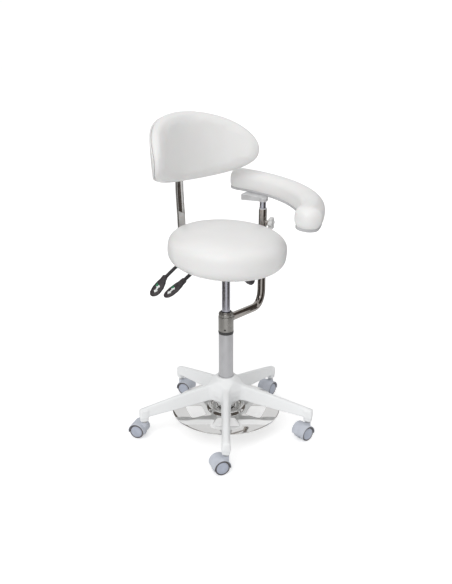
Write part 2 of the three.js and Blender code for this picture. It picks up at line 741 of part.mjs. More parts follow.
// The arm is drawn with its tube along +X and turned to ARM_ANGLE afterwards.
function armTube() {
  const bend = 52;
  const path = new THREE.CurvePath();
  const start = new THREE.Vector3(24, 0, ARM_TUBE_Z);
  const low = new THREE.Vector3(ARM_POST_RADIUS - bend, 0, ARM_TUBE_Z - 8);
  const corner = new THREE.Vector3(ARM_POST_RADIUS - 3, 0, ARM_TUBE_Z - 10);
  const rise = new THREE.Vector3(ARM_POST_RADIUS, 0, ARM_TUBE_Z + 48);
  path.add(new THREE.LineCurve3(start, low));
  path.add(new THREE.QuadraticBezierCurve3(low, corner, rise));
  path.add(new THREE.LineCurve3(rise, new THREE.Vector3(ARM_POST_RADIUS, 0, SLEEVE_TOP_Z)));
  const rings = [];
  const sides = 20;
  const bendSteps = 10;
  const side = new THREE.Vector3(0, 1, 0);
  for (const curve of path.curves) {
    // A straight stretch needs a ring at each end only.
    const shares = curve.isLineCurve3
      ? [0, 1]
      : Array.from({ length: bendSteps - 1 }, (_, i) => (i + 1) / bendSteps);
    for (const share of shares) {
      const point = curve.getPoint(share);
      const across = curve.getTangent(share).cross(side);
      rings.push(circle(ARM_TUBE_RADIUS, sides).map(([u, v]) =>
        point.clone().addScaledVector(side, u).addScaledVector(across, v)));
    }
  }
  const boss = bar(armPoint(ARM_POST_TUBE_RADIUS + 2, KNOB_Z), armPoint(ARM_TUBE_RADIUS + 8, KNOB_Z), 9, 16);
  const bore = rod(ARM_BORE_RADIUS, 560, SLEEVE_TOP_Z + 5, 24).translate(ARM_POST_RADIUS, 0, 0);
  const screwHole = tunnel(armPoint(0, KNOB_Z), armPoint(40, KNOB_Z), SCREW_RADIUS, 12);
  return cut(join(lofted(rings), boss), bore, screwHole);
}

/** A point at a distance from the arm post's axis, towards the lock knob. */
function armPoint(distance, z) {
  const [x, y] = polar(distance, KNOB_HEADING);
  return [ARM_POST_RADIUS + x, y, z];
}

const COLLAR_BUSH_WALL = 4;

function armCollar() {
  const inner = CYLINDER_RADIUS + COLLAR_BUSH_WALL;
  const body = turned([
    [inner, COLLAR_BOTTOM_Z], [27, COLLAR_BOTTOM_Z], [27, 414], [24, 424], [20, COLLAR_TOP_Z],
    [inner, COLLAR_TOP_Z], [inner, COLLAR_BOTTOM_Z],
  ], 28);
  const tubeHole = tunnel([22, 0, ARM_TUBE_Z], [60, 0, ARM_TUBE_Z - 2], ARM_TUBE_RADIUS, 20);
  const [x, y] = polar(1, -135 - ARM_ANGLE - 8);
  const screwHole = bar([10 * x, 10 * y, 419], [40 * x, 40 * y, 419], 3.3, 10);
  return cut(body, tubeHole, screwHole);
}

function armPostBush() {
  const low = KNOB_Z + 20;
  const rim = SLEEVE_TOP_Z + GAP;
  const flange = SLEEVE_TOP_Z + 3;
  const inner = ARM_POST_TUBE_RADIUS + GAP;
  const outer = ARM_BORE_RADIUS - GAP;
  const bush = turned([
    [inner, low], [outer, low], [outer, rim], [ARM_TUBE_RADIUS, rim], [ARM_TUBE_RADIUS, flange],
    [inner, flange], [inner, low],
  ], 24);
  return bush.translate(ARM_POST_RADIUS, 0, 0);
}

/** Six-lobed knob on its screw; the screw stops short of the post. */
function armLockKnob() {
  const lobes = 6;
  const outline = [];
  const steps = 36;
  for (let i = 0; i < steps; i += 1) {
    const angle = (360 * i) / steps;
    outline.push(polar(20.5 + 2 * Math.cos(radians(angle * lobes)), angle));
  }
  const head = slab(outline, ARM_TUBE_RADIUS + 9, ARM_TUBE_RADIUS + 24);
  const screw = rod(SCREW_RADIUS, ARM_POST_TUBE_RADIUS + 0.8, ARM_TUBE_RADIUS + 10, 12);
  const knob = join(head, screw).rotateY(Math.PI / 2).rotateZ(radians(KNOB_HEADING));
  return knob.translate(ARM_POST_RADIUS, 0, KNOB_Z);
}

// The pad is drawn about the post's axis, in the stool's own directions.
const PAD_ARC_RADIUS = 317;
const PAD_ARC_CENTRE = [-261, -10]; // from the post
const PAD_FIRST_ANGLE = 29;
const PAD_LAST_ANGLE = -70;
const PAD_HALF_WIDTH = 40;
const PAD_HEIGHT = 62;
const PAD_PITCH = 6; // degrees that the front end hangs below the rear
const PLATE_THICKNESS = 9;

/** Rings of a section swept round the pad's arc with rounded ends. */
function padSweep(section, shrink) {
  const stations = 20;
  const rings = [];
  const span = PAD_LAST_ANGLE - PAD_FIRST_ANGLE;
  const endAngle = THREE.MathUtils.radToDeg((PAD_HALF_WIDTH - shrink) / PAD_ARC_RADIUS);
  for (let i = 0; i <= stations; i += 1) {
    // ends bunch towards the tips, where the pad rounds off
    const along = Math.sin((i / stations - 0.5) * Math.PI) * 0.5 + 0.5;
    const reach = Math.abs(span) + 2 * endAngle * 0.6;
    const fromEnd = Math.min(along, 1 - along) * reach;
    const round = fromEnd < endAngle ? Math.sqrt(1 - (1 - fromEnd / endAngle) ** 2) : 1;
    const scale = 0.5 + 0.5 * round;
    const angle = PAD_FIRST_ANGLE + endAngle * 0.6 - along * reach;
    rings.push(section.map(([across, z]) => {
      const [x, y] = polar(PAD_ARC_RADIUS + across * scale, angle);
      return new THREE.Vector3(PAD_ARC_CENTRE[0] + x, PAD_ARC_CENTRE[1] + y, z);
    }));
  }
  return lofted(rings);
}

function armPad() {
  const section = circle(1, 16).map(([u, v]) => [
    bulge(u, 0.75) * PAD_HALF_WIDTH,
    PLATE_THICKNESS + GAP + (PAD_HEIGHT / 2) * (1 + bulge(v, 0.75)),
  ]);
  return padSweep(section, 0);
}

function armPlate() {
  const half = PAD_HALF_WIDTH - 9;
  const low = 0;
  return padSweep([[-half, low], [half, low], [half, PLATE_THICKNESS], [-half, PLATE_THICKNESS]], 9);
}

/** Cast bracket from the post to the underside of the pad's plate. */
function armBracket() {
  const top = BRACKET_HEIGHT;
  const outline = [[-12, -14], [80, -14], [74, 72], [22, 72], [-12, 20]];
  const body = slab(outline.map(([along, out]) => [along, -out]), 0, top);
  const socket = hole(ARM_POST_TUBE_RADIUS, -5, 12, 24);
  return cut(body, socket);
}

// ---------------------------------------------------------------- assembly
const stool = new THREE.Group();

add(stool, 'star_base', starBase(), whiteNylon());
add(stool, 'column_tube', columnTube(), satinSteel());
add(stool, 'column_bush', columnBush(), blackPlastic());
const trimLow = TUBE_TOP_Z + BUSH_FLANGE + 2 * GAP;
const trimHigh = COLLAR_BOTTOM_Z - GAP;
add(stool, 'trim_ring', ring(CYLINDER_RADIUS + COLLAR_BUSH_WALL, TUBE_RADIUS + 1, trimLow, trimHigh, 32),
  blackPlastic());
add(stool, 'pivot_hub', pivotHub(), chrome());
add(stool, 'piston_rod', pistonRod(), chrome());
add(stool, 'thrust_bearing', ring(ROD_RADIUS + GAP, 13, TUBE_FLOOR_TOP_Z + GAP, TUBE_FLOOR_TOP_Z + 6, 24),
  satinSteel());
add(stool, 'gimbal_ring', gimbalRing(), chrome());
add(stool, 'foot_disc', footDisc(), chrome());
add(stool, 'release_pin', releasePin(), zincSteel());
add(stool, 'return_spring', returnSpring(), zincSteel());
addCastors(stool);

add(stool, 'gas_cylinder', gasCylinder(), satinSteel());
add(stool, 'mechanism_housing', mechanismHousing(), blackPlastic());
add(stool, 'tilt_pin', crossPin(TILT_PIN, HOUSING_HALF_WIDTH + 10), zincSteel());
add(stool, 'back_pivot_pin', crossPin(BACK_PIN, HOUSING_HALF_WIDTH + 13), zincSteel());
for (const lever of LEVERS) {
  add(stool, `${lever.name}_rod`, leverRod(lever), blackPlastic());
  add(stool, `${lever.name}_paddle`, boredPaddle(lever), blackPlastic());
}
add(stool, 'tension_screw', tensionScrew(), zincSteel());
add(stool, 'tension_knob', tensionKnob(), blackPlastic());

// The seat leans forward about its tilt pin.
const seat = group(stool, [0, TILT_PIN[0], TILT_PIN[1]]);
seat.rotation.x = radians(SEAT_FORWARD_TILT);
const level = group(seat, [0, -TILT_PIN[0], -TILT_PIN[1]]);
add(level, 'seat_plate', seatPlate(), zincSteel());
const boardLow = SEAT_PLATE_Z + PLATE_GAUGE + GAP;
add(level, 'seat_board', rod(BOARD_RADIUS, boardLow, boardLow + BOARD_THICKNESS - 2 * GAP, 40), plywood());
add(level, 'seat_cushion', seatCushion().translate(0, 0, boardLow + SEAT_BELLY), vinyl());

add(stool, 'back_bracket', backBracket(), zincSteel());
add(stool, 'back_bar', backBar(), chrome());
add(stool, 'back_carriage', backCarriage(), blackPlastic());
const back = group(stool, [0, BACK_BAR_Y, BACK_TIP_Z]);
back.rotation.x = -radians(BACK_LEAN);
const upright = group(back, [0, -BACK_BAR_Y, -BACK_TIP_Z]);
add(upright, 'back_shell', backShell(), vinyl());
add(upright, 'back_cushion', backCushion(), vinyl());

const arm = group(stool);
arm.rotation.z = radians(ARM_ANGLE);
add(arm, 'arm_collar', armCollar(), satinSteel());
const collarBore = CYLINDER_RADIUS + COLLAR_BUSH_WALL - GAP;
add(arm, 'collar_bush',
  ring(CYLINDER_RADIUS + GAP, collarBore, COLLAR_BOTTOM_Z, COLLAR_TOP_Z - 2, 24), blackPlastic());
add(arm, 'arm_tube', armTube(), chrome());
add(arm, 'arm_post_bush', armPostBush(), greyPlastic());
add(arm, 'arm_post', rod(ARM_POST_TUBE_RADIUS, 640, POST_TOP_Z + 11, 24).translate(ARM_POST_RADIUS, 0, 0),
  satinSteel());
add(arm, 'arm_lock_knob', armLockKnob(), greyPlastic());

const post = polar(ARM_POST_RADIUS, ARM_ANGLE);
const bracket = group(stool, [...post, POST_TOP_Z]);
bracket.rotation.z = radians(BRACKET_HEADING);
add(bracket, 'arm_bracket', armBracket(), satinSteel());
const pad = group(stool, [...post, ARM_PAD_BASE_Z]);
pad.rotation.x = radians(PAD_PITCH);
add(pad, 'arm_plate', armPlate(), greyPlastic());
add(pad, 'arm_pad', armPad(), vinyl());

stool.position.z = -FLOOR_Z;

export default stool;
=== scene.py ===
"""Looks of the dentist stool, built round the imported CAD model.

Shapes are worked out in millimetres in the row frame (+Z up, the sitter faces -Y, z = 0 is the floor)
and turned into metres when a mesh is made. Smooth castings and cushions are signed fields meshed on a
grid; tubes and turned parts are swept or spun.
"""
import json
import math

import bpy
import numpy as np
import openvdb
from mathutils import Matrix, Vector


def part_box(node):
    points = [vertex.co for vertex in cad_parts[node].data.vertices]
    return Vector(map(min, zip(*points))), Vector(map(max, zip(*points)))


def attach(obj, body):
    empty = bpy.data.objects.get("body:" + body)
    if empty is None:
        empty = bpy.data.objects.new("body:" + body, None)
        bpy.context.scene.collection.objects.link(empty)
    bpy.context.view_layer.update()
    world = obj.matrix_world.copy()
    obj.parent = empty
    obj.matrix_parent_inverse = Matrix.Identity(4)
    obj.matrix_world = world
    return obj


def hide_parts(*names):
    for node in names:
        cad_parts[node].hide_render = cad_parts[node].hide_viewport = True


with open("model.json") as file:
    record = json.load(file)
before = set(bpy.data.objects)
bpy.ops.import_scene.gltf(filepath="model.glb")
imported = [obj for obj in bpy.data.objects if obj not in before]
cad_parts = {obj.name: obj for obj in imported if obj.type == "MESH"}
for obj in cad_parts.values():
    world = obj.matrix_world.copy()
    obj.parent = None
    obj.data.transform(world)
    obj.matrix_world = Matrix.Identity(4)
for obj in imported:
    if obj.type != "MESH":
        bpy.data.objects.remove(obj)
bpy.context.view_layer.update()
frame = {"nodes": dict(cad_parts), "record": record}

MM = 0.001
SLOTS = {row["node"]: row["material_slot"] for row in frame["record"]["subparts"]}
BODY_OF = {node: body for body, nodes in frame["record"]["behaviour"]["bodies"].items() for node in nodes}


def span(node):
    """Lowest and highest corner of a CAD node, in millimetres."""
    low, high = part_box(node)
    return np.array(low) / MM, np.array(high) / MM


# ---------------- camera
CAMERA_AT = (-1.4786, -1.4786, 1.2238)
CAMERA_HEADING = 45.0  # degrees from +X in plan
CAMERA_PITCH = -19.39
CAMERA_LENS = 41.5
CAMERA_CLIP = (0.05, 60.0)


def add_object(name, data):
    made = bpy.data.objects.new(name, data)
    bpy.context.scene.collection.objects.link(made)
    return made


def add_camera():
    data = bpy.data.cameras.new("camera")
    data.lens = CAMERA_LENS
    data.clip_start, data.clip_end = CAMERA_CLIP
    heading, pitch = math.radians(CAMERA_HEADING), math.radians(CAMERA_PITCH)
    level = math.cos(pitch)
    look = Vector((math.cos(heading) * level, math.sin(heading) * level, math.sin(pitch)))
    camera = add_object("camera", data)
    camera.location = CAMERA_AT
    camera.rotation_euler = look.to_track_quat("-Z", "Y").to_euler()
    bpy.context.scene.camera = camera


# ---------------- finishes
MIDDLE = (0.3, 0.7)  # the range that most of a noise lies in
GLOSS_PATCH = 2.3  # how much finer the gloss varies than the colour
COAT_ROUGHNESS = 0.12
CONVEX = (0.52, 0.6)  # pointiness from where an edge starts to lighten (wear, and a painted highlight on the rod sleeve's ribs) to where it is fully lightened
MIX_SHARE, MIX_FIRST, MIX_SECOND, MIX_RESULT = 0, 6, 7, 2  # the colour sockets of a mix node


class Finish:
    """A procedural material: one Principled shader fed by noise in its colour, roughness and relief."""

    def __init__(self, name, color, roughness, metallic=0.0, coat=0.0, vary=0.03, patch=30.0, uneven=0.08):
        self.material = bpy.data.materials.new(name)
        self.material.use_nodes = True
        self.material.diffuse_color = (*color, 1)
        self.tree = self.material.node_tree
        self.shader = self.tree.nodes["Principled BSDF"]
        self.place = self.node("ShaderNodeTexCoord").outputs["Object"]
        self.normal = None
        self.set(Metallic=metallic, Coat_Weight=coat, Coat_Roughness=COAT_ROUGHNESS)
        dark = [c * (1 - vary) for c in color] + [1]
        light = [min(1.0, c * (1 + vary)) for c in color] + [1]
        self.color = self.mix(self.spread(self.noise(patch, 4), *MIDDLE, 0, 1), dark, light)
        gloss = self.noise(patch * GLOSS_PATCH, 5)
        rough = self.spread(gloss, *MIDDLE, roughness * (1 - uneven), roughness * (1 + uneven))
        self.set(Roughness=rough, Base_Color=self.color)

    def fill(self, node, inputs):
        """Gives a node's inputs numbers, colours or the outputs of other nodes."""
        for name, value in inputs.items():
            if isinstance(value, bpy.types.NodeSocket):
                self.tree.links.new(value, node.inputs[name])
            else:
                node.inputs[name].default_value = value

    def set(self, **inputs):
        """Fills the shader's inputs; an underscore stands for the space in a name."""
        self.fill(self.shader, {name.replace("_", " "): value for name, value in inputs.items()})

    def node(self, kind, inputs=None, **values):
        made = self.tree.nodes.new(kind)
        for key, value in values.items():
            setattr(made, key, value)
        self.fill(made, inputs or {})
        return made

    def noise(self, scale, detail=3, stretch=None):
        """Cloudy noise; stretch scales the coordinates on each axis."""
        place = self.place
        if stretch:
            place = self.node("ShaderNodeMapping", {"Scale": stretch, "Vector": place}).outputs["Vector"]
        inputs = {"Scale": scale, "Detail": detail, "Vector": place}
        return self.node("ShaderNodeTexNoise", inputs).outputs["Fac"]

    def cells(self, scale):
        inputs = {"Scale": scale, "Smoothness": 0.4, "Vector": self.place}
        return self.node("ShaderNodeTexVoronoi", inputs, feature="SMOOTH_F1").outputs["Distance"]

    def lines(self, scale):
        """Level rings, slightly uneven."""
        inputs = {"Scale": scale, "Distortion": 0.4, "Detail": 2, "Vector": self.place}
        return self.node("ShaderNodeTexWave", inputs, wave_type="BANDS", bands_direction="Z").outputs["Fac"]

    def spread(self, value, low, high, to_low, to_high):
        inputs = {"Value": value, "From Min": low, "From Max": high, "To Min": to_low, "To Max": to_high}
        return self.node("ShaderNodeMapRange", inputs, interpolation_type="SMOOTHSTEP").outputs["Result"]

    def mix(self, share, first, second):
        """Mixes two colours, each a list of four numbers or a socket, by a share."""
        inputs = {MIX_SHARE: share, MIX_FIRST: first, MIX_SECOND: second}
        return self.node("ShaderNodeMix", inputs, data_type="RGBA").outputs[MIX_RESULT]

    def tint(self, share, color):
        """Lays a colour over the base where the share is 1."""
        self.color = self.mix(share, self.color, [*color, 1])
        self.set(Base_Color=self.color)
        return self

    def relief(self, height, depth, strength=1.0):
        """Adds a bump layer; depth is in millimetres."""
        made = self.node("ShaderNodeBump", {"Strength": strength, "Distance": depth * MM, "Height": height})
        if self.normal is not None:
            self.fill(made, {"Normal": self.normal})
        self.normal = made.outputs["Normal"]
        self.set(Normal=self.normal)
        return self

    def wear_and_glint_edges(self, color, amount):
        """Lightens convex edges: wear where handling polishes them, and a painted highlight on the rod
        sleeve's ribs.
        """
        edge = self.node("ShaderNodeNewGeometry").outputs["Pointiness"]
        return self.tint(self.spread(edge, *CONVEX, 0, amount), color)


def vinyl():
    """Coated fabric: broad unevenness, faint creasing, grain and darker pores."""
    made = Finish("white_vinyl", (0.8, 0.796, 0.79), 0.37, coat=0.1, vary=0.012, patch=9, uneven=0.12)
    made.set(Sheen_Weight=0.08, Sheen_Roughness=0.4, Subsurface_Weight=0.05, Subsurface_Scale=0.004)
    made.relief(made.noise(16, 2), 0.5, 0.4)
    made.relief(made.noise(240, 4), 0.04)
    made.relief(made.cells(820), 0.06)
    pores = made.spread(made.noise(1500, 2), 0.58, 0.75, 0, 0.06)
    return made.tint(pores, (0.62, 0.61, 0.6))


def nylon():
    """Moulded nylon, fairly dull so that the legs don't mirror the studio."""
    made = Finish("white_nylon", (0.83, 0.84, 0.845), 0.44, coat=0.03, vary=0.006, patch=8, uneven=0.15)
    made.relief(made.noise(14, 2), 0.06, 0.3)
    made.relief(made.noise(900), 0.008)
    scuffs = made.spread(made.noise(60, 6, (1, 1, 5)), 0.66, 0.85, 0, 0.06)
    return made.tint(scuffs, (0.6, 0.6, 0.6))


def plastic(name, color, roughness, grain=0.04, wear_and_glint=None):
    """Moulded plastic with a fine grain, and convex edges lightened to a colour if one is given: polish from
    handling, and on the rod sleeve a painted highlight.
    """
    made = Finish(name, color, roughness, vary=0.06, patch=40, uneven=0.15)
    made.relief(made.noise(1100), grain)
    made.relief(made.noise(70), 0.08, 0.5)
    if wear_and_glint:
        made.wear_and_glint_edges(wear_and_glint, 0.35)
    return made


def chrome(name, color=(0.66, 0.65, 0.64), roughness=0.05):
    """Plated steel with a slow ripple and a few greasy smears."""
    made = Finish(name, color, roughness, metallic=1.0, vary=0.015, patch=20, uneven=0.5)
    made.relief(made.noise(9, 2), 0.12, 0.4)
    made.relief(made.noise(1600, 2), 0.002)
    smears = made.spread(made.noise(35, 6, (1, 1, 3)), 0.55, 0.8, 0, 0.12)
    return made.tint(smears, (0.74, 0.74, 0.75))


def turned_steel(name, color, roughness):
    """Metal with the fine rings that a lathe or a grinding wheel leaves."""
    made = Finish(name, color, roughness, metallic=1.0, vary=0.05, patch=24, uneven=0.2)
    made.relief(made.lines(900), 0.012)
    made.relief(made.noise(50), 0.05, 0.5)
    return made.wear_and_glint_edges([min(1, c * 1.35) for c in color], 0.5)


def drawn_steel(name, color, roughness):
    """Metal with fine scratches along the vertical."""
    made = Finish(name, color, roughness, metallic=1.0, vary=0.04, patch=30, uneven=0.2)
    made.relief(made.noise(1400, 3, (1, 1, 0.02)), 0.006)
    return made


def painted_tube():
    made = Finish("column_steel", (0.56, 0.56, 0.575), 0.32, metallic=0.75, coat=0.25, vary=0.03, patch=26)
    made.relief(made.noise(1300, 3, (1, 1, 0.05)), 0.006)
    made.relief(made.noise(220), 0.01)
    return made


def zinc():
    """Zinc plate with its crystals and a patchy yellow tinge."""
    made = Finish("zinc_steel", (0.52, 0.52, 0.51), 0.36, metallic=1.0, vary=0.1, patch=70, uneven=0.25)
    made.relief(made.cells(260), 0.02)
    yellow = made.spread(made.noise(45), 0.5, 0.75, 0, 0.25)
    made.tint(yellow, (0.6, 0.56, 0.42))
    return made.wear_and_glint_edges((0.75, 0.75, 0.75), 0.4)


def plywood():
    made = Finish("plywood", (0.5, 0.34, 0.18), 0.65, vary=0.08, patch=12)
    grain = made.noise(90, 6, (1, 0.06, 1))
    made.tint(made.spread(grain, 0.45, 0.7, 0, 0.6), (0.33, 0.2, 0.09))
    return made.relief(grain, 0.1)


FINISHES = {
    "white_nylon": nylon(),
    "column_steel": painted_tube(),
    "cylinder_steel": drawn_steel("cylinder_steel", (0.5, 0.5, 0.56), 0.14),
    "black_plastic": plastic("black_plastic", (0.028, 0.026, 0.027), 0.42, 0.05, (0.09, 0.09, 0.09)),
    "grey_plastic": plastic("grey_plastic", (0.6, 0.6, 0.61), 0.38),
    "chrome": chrome("chrome"),
    "zinc_steel": zinc(),
    "collar_steel": turned_steel("collar_steel", (0.4, 0.39, 0.37), 0.32),
    "castor_grey": plastic("castor_grey", (0.54, 0.565, 0.625), 0.4, 0.03, (0.64, 0.66, 0.71)),
    "bearing_steel": turned_steel("bearing_steel", (0.6, 0.6, 0.62), 0.25),
    "white_vinyl": vinyl(),
    "plywood": plywood(),
}
# the arm tube's chrome is darkened and browned: painted shade and painted reflection of the dark under the
# seat
DARKENED_ARM_CHROME = chrome("arm_chrome_painted_shade", (0.42, 0.39, 0.365), 0.07)
# the foot disc's chrome is brighter than the other chrome: a painted reflection of a brighter room
BRIGHTENED_DISC_CHROME = chrome("disc_chrome_painted_light", (0.94, 0.935, 0.925))
RUBBER = plastic("dark_ring", (0.13, 0.122, 0.127), 0.36, 0.03, (0.3, 0.3, 0.3))
HUB_CAP = plastic("hub_cap", (0.42, 0.45, 0.53), 0.34, 0.02)
# the sleeve's lightened rib crests are painted highlights
SOFT_SLEEVE = plastic("rod_sleeve", (0.035, 0.033, 0.035), 0.5, 0.06, (0.2, 0.2, 0.2))
LEVER_GRIP = plastic("lever_grip", (0.042, 0.036, 0.039), 0.33, 0.03, (0.12, 0.11, 0.11))
MARK_WHITE = plastic("mark_white", (0.82, 0.84, 0.83), 0.4, 0.01)
MARK_GREEN = plastic("mark_green", (0.02, 0.2, 0.09), 0.4, 0.01)
KNOB_GREY = plastic("knob_grey", (0.66, 0.66, 0.655), 0.3, 0.03)
PLATE_GREY = plastic("plate_grey", (0.5, 0.5, 0.51), 0.42, 0.05)
BRACKET_SILVER = plastic("bracket_silver", (0.66, 0.66, 0.67), 0.34, 0.05, (0.85, 0.85, 0.85))
BRACKET_SILVER.set(Metallic=0.35)


# ---------------- making meshes
TINY = 1e-6  # keeps a division from failing
FILLET_SHARE = 0.45  # the most of a side that one fillet takes
SKEW = (0.2, 0.3, 1.0)  # a direction that no path starts along


def mesh_piece(name, points, faces, sharp=40):
    """An object from points in millimetres, its faces turned outward, smooth up to an angle."""
    points = np.asarray(points, float)
    mesh = bpy.data.meshes.new(name)
    mesh.from_pydata((points * MM).tolist(), [], [tuple(int(i) for i in face) for face in faces])
    mesh.validate()
    if volume_sign(points, faces) < 0:
        mesh.flip_normals()
    mesh.shade_smooth()
    mesh.set_sharp_from_angle(angle=math.radians(sharp))
    return add_object(name, mesh)


def volume_sign(points, faces):
    """Six times the volume inside the faces, negative if they are turned inward."""
    fans = np.array([(face[0], face[i], face[i + 1]) for face in faces for i in range(1, len(face) - 1)])
    first, second, third = points[fans[:, 0]], points[fans[:, 1]], points[fans[:, 2]]
    return float((first * np.cross(second, third)).sum())


def dress(piece, finish, body, stands_for=()):
    """Gives a piece its material, its body and the CAD nodes that it stands for."""
    piece.data.materials.clear()
    piece.data.materials.append(finish.material)
    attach(piece, body)
    if stands_for:
        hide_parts(*stands_for)
    return piece


def stand_in(piece, node, finish=None):
    """A finer piece in place of one CAD node, on its body and in its material slot."""
    slot = SLOTS[node]
    return dress(piece, finish or FINISHES[slot], BODY_OF[node], [node])


def turning(heading, pitch):
    """The matrix that pitches about X, then turns about Z, both in degrees."""
    turn = Matrix.Rotation(math.radians(heading), 3, "Z") @ Matrix.Rotation(math.radians(pitch), 3, "X")
    return np.array(turn)


def placed(points, origin=(0, 0, 0), heading=0.0, pitch=0.0):
    """Points pitched about X, turned about Z, then moved."""
    return np.asarray(points, float) @ turning(heading, pitch).T + np.array(origin, float)


def into_place(points, origin, pitch):
    """Row-frame points in the frame of something moved to an origin and pitched, as placed() does."""
    return (np.asarray(points, float) - np.array(origin, float)) @ turning(0, pitch)


def around(radius, heading):
    """A level vector of a length and heading in degrees, which is also a point round the column."""
    turn = math.radians(heading)
    return np.array([radius * math.cos(turn), radius * math.sin(turn), 0.0])


def filleted(corners, radius, steps=4):
    """A path of 2-D or 3-D points with each inner corner rounded off."""
    corners = [np.array(c, float) for c in corners]
    path = [corners[0]]
    for before, corner, after in zip(corners, corners[1:], corners[2:]):
        back, ahead = before - corner, after - corner
        reach = min(radius, FILLET_SHARE * np.linalg.norm(back), FILLET_SHARE * np.linalg.norm(ahead))
        start = corner + back / np.linalg.norm(back) * reach
        end = corner + ahead / np.linalg.norm(ahead) * reach
        for t in np.linspace(0, 1, steps + 1):
            path.append((1 - t) ** 2 * start + 2 * t * (1 - t) * corner + t * t * end)
    return path + [corners[-1]]


def spun(profile, segments=64, fillet=0.8):
    """Points and faces of a solid of revolution about Z; an open profile starts and ends on the axis."""
    loop = np.allclose(profile[0], profile[-1])
    path = filleted(profile, fillet) if fillet else [np.array(c, float) for c in profile]
    if loop:
        path = path[:-1]
    angles = np.linspace(0, 2 * math.pi, segments, endpoint=False)
    points, rows = [], []
    for radius, z in path:
        if radius < TINY:
            rows.append([len(points)] * segments)
            points.append((0, 0, z))
        else:
            rows.append(list(range(len(points), len(points) + segments)))
            points.extend((radius * math.cos(a), radius * math.sin(a), z) for a in angles)
    if loop:
        rows.append(rows[0])
    faces = []
    for low, high in zip(rows, rows[1:]):
        for j in range(segments):
            k = (j + 1) % segments
            corners = [low[j], low[k], high[k], high[j]]
            faces.append([c for i, c in enumerate(corners) if c != corners[i - 1]])
    return np.array(points), [face for face in faces if len(face) > 2]


def lofted(rings):
    """Points and faces of a skin over rings of equal size, closed by a fan at each end."""
    size = len(rings[0])
    points = np.concatenate([np.asarray(ring, float) for ring in rings])
    faces = []
    for i in range(len(rings) - 1):
        for j in range(size):
            k = (j + 1) % size
            faces.append([i * size + j, i * size + k, (i + 1) * size + k, (i + 1) * size + j])
    last = (len(rings) - 1) * size
    points = np.vstack([points, np.mean(rings[0], axis=0), np.mean(rings[-1], axis=0)])
    for j in range(size):
        k = (j + 1) % size
        faces.append([k, j, len(points) - 2])
        faces.append([last + j, last + k, len(points) - 1])
    return points, faces


def prism(outline, low, high):
    """An upright solid over a 2-D outline."""
    return lofted([np.column_stack([outline, np.full(len(outline), z)]) for z in (low, high)])


def swept(path, section_at, side=None):
    """A section carried along a path. section_at(i) gives the section's 2-D points at path point i."""
    path = np.array(path, float)
    tangents = np.gradient(path, axis=0)
    tangents /= np.linalg.norm(tangents, axis=1)[:, None]
    across = np.cross(tangents[0], SKEW) if side is None else np.array(side, float)
    rings = []
    for i, (point, along) in enumerate(zip(path, tangents)):
        across = across - along * np.dot(across, along)
        across /= np.linalg.norm(across)
        up = np.cross(along, across)
        rings.append([point + across * u + up * v for u, v in section_at(i)])
    return lofted(rings)


def round_section(radius, sides=40):
    angles = np.linspace(0, 2 * math.pi, sides, endpoint=False)
    return [(radius * math.cos(a), radius * math.sin(a)) for a in angles]


def joined(*parts):
    """Several (points, faces) pairs as one."""
    points, faces, offset = [], [], 0
    for part_points, part_faces in parts:
        points.append(part_points)
        faces += [[i + offset for i in face] for face in part_faces]
        offset += len(part_points)
    return np.vstack(points), faces


def aimed(points, start, end):
    """Points drawn along +Z from the origin, moved to run from start towards end."""
    start, end = Vector(start), Vector(end)
    turn = (end - start).to_track_quat("Z", "Y").to_matrix()
    return np.asarray(points, float) @ np.array(turn).T + np.array(start)


# ---------------- signed fields, in millimetres
PROBE = 0.05  # how far from a point a slope is measured
MARGIN = 2  # voxels round a field's box
PULLS = 3


def polar(p):
    """Distance from the Z axis and angle about it."""
    return np.hypot(p[:, 0], p[:, 1]), np.arctan2(p[:, 1], p[:, 0])


def slab(z, low, high):
    """The layer between two heights."""
    return np.abs(z - (low + high) / 2) - (high - low) / 2


def superellipse(a, b, power, size):
    """A rounded section: a and b are shares of its half sizes, size turns shares into millimetres."""
    return ((a ** power + b ** power) ** (1 / power) - 1) * size


def blend_max(a, b, k):
    """Intersection of two fields with a rounded edge."""
    h = np.maximum(k - np.abs(a - b), 0) / k
    return np.maximum(a, b) + h * h * k / 4


def blend_min(a, b, k):
    """Union of two fields with a fillet."""
    return -blend_max(-a, -b, k)


def edge_round(a, b, radius):
    """Intersection of two distances whose edge is an arc."""
    corner = np.hypot(np.maximum(a + radius, 0), np.maximum(b + radius, 0))
    return np.minimum(np.maximum(a, b) + radius, 0) + corner - radius


def polygon(points, outline):
    """Signed distance of 2-D points to a closed outline, negative inside."""
    best = np.full(len(points), np.inf)
    inside = np.zeros(len(points), bool)
    for (ax, ay), (bx, by) in zip(outline, np.roll(outline, -1, axis=0)):
        ex, ey = bx - ax, by - ay
        wx, wy = points[:, 0] - ax, points[:, 1] - ay
        t = np.clip((wx * ex + wy * ey) / (ex * ex + ey * ey + TINY ** 2), 0, 1)
        best = np.minimum(best, (wx - t * ex) ** 2 + (wy - t * ey) ** 2)
        if ey:
            inside ^= ((ay > points[:, 1]) != (by > points[:, 1])) & (wx < ex * wy / ey)
    return np.where(inside, -1, 1) * np.sqrt(best)


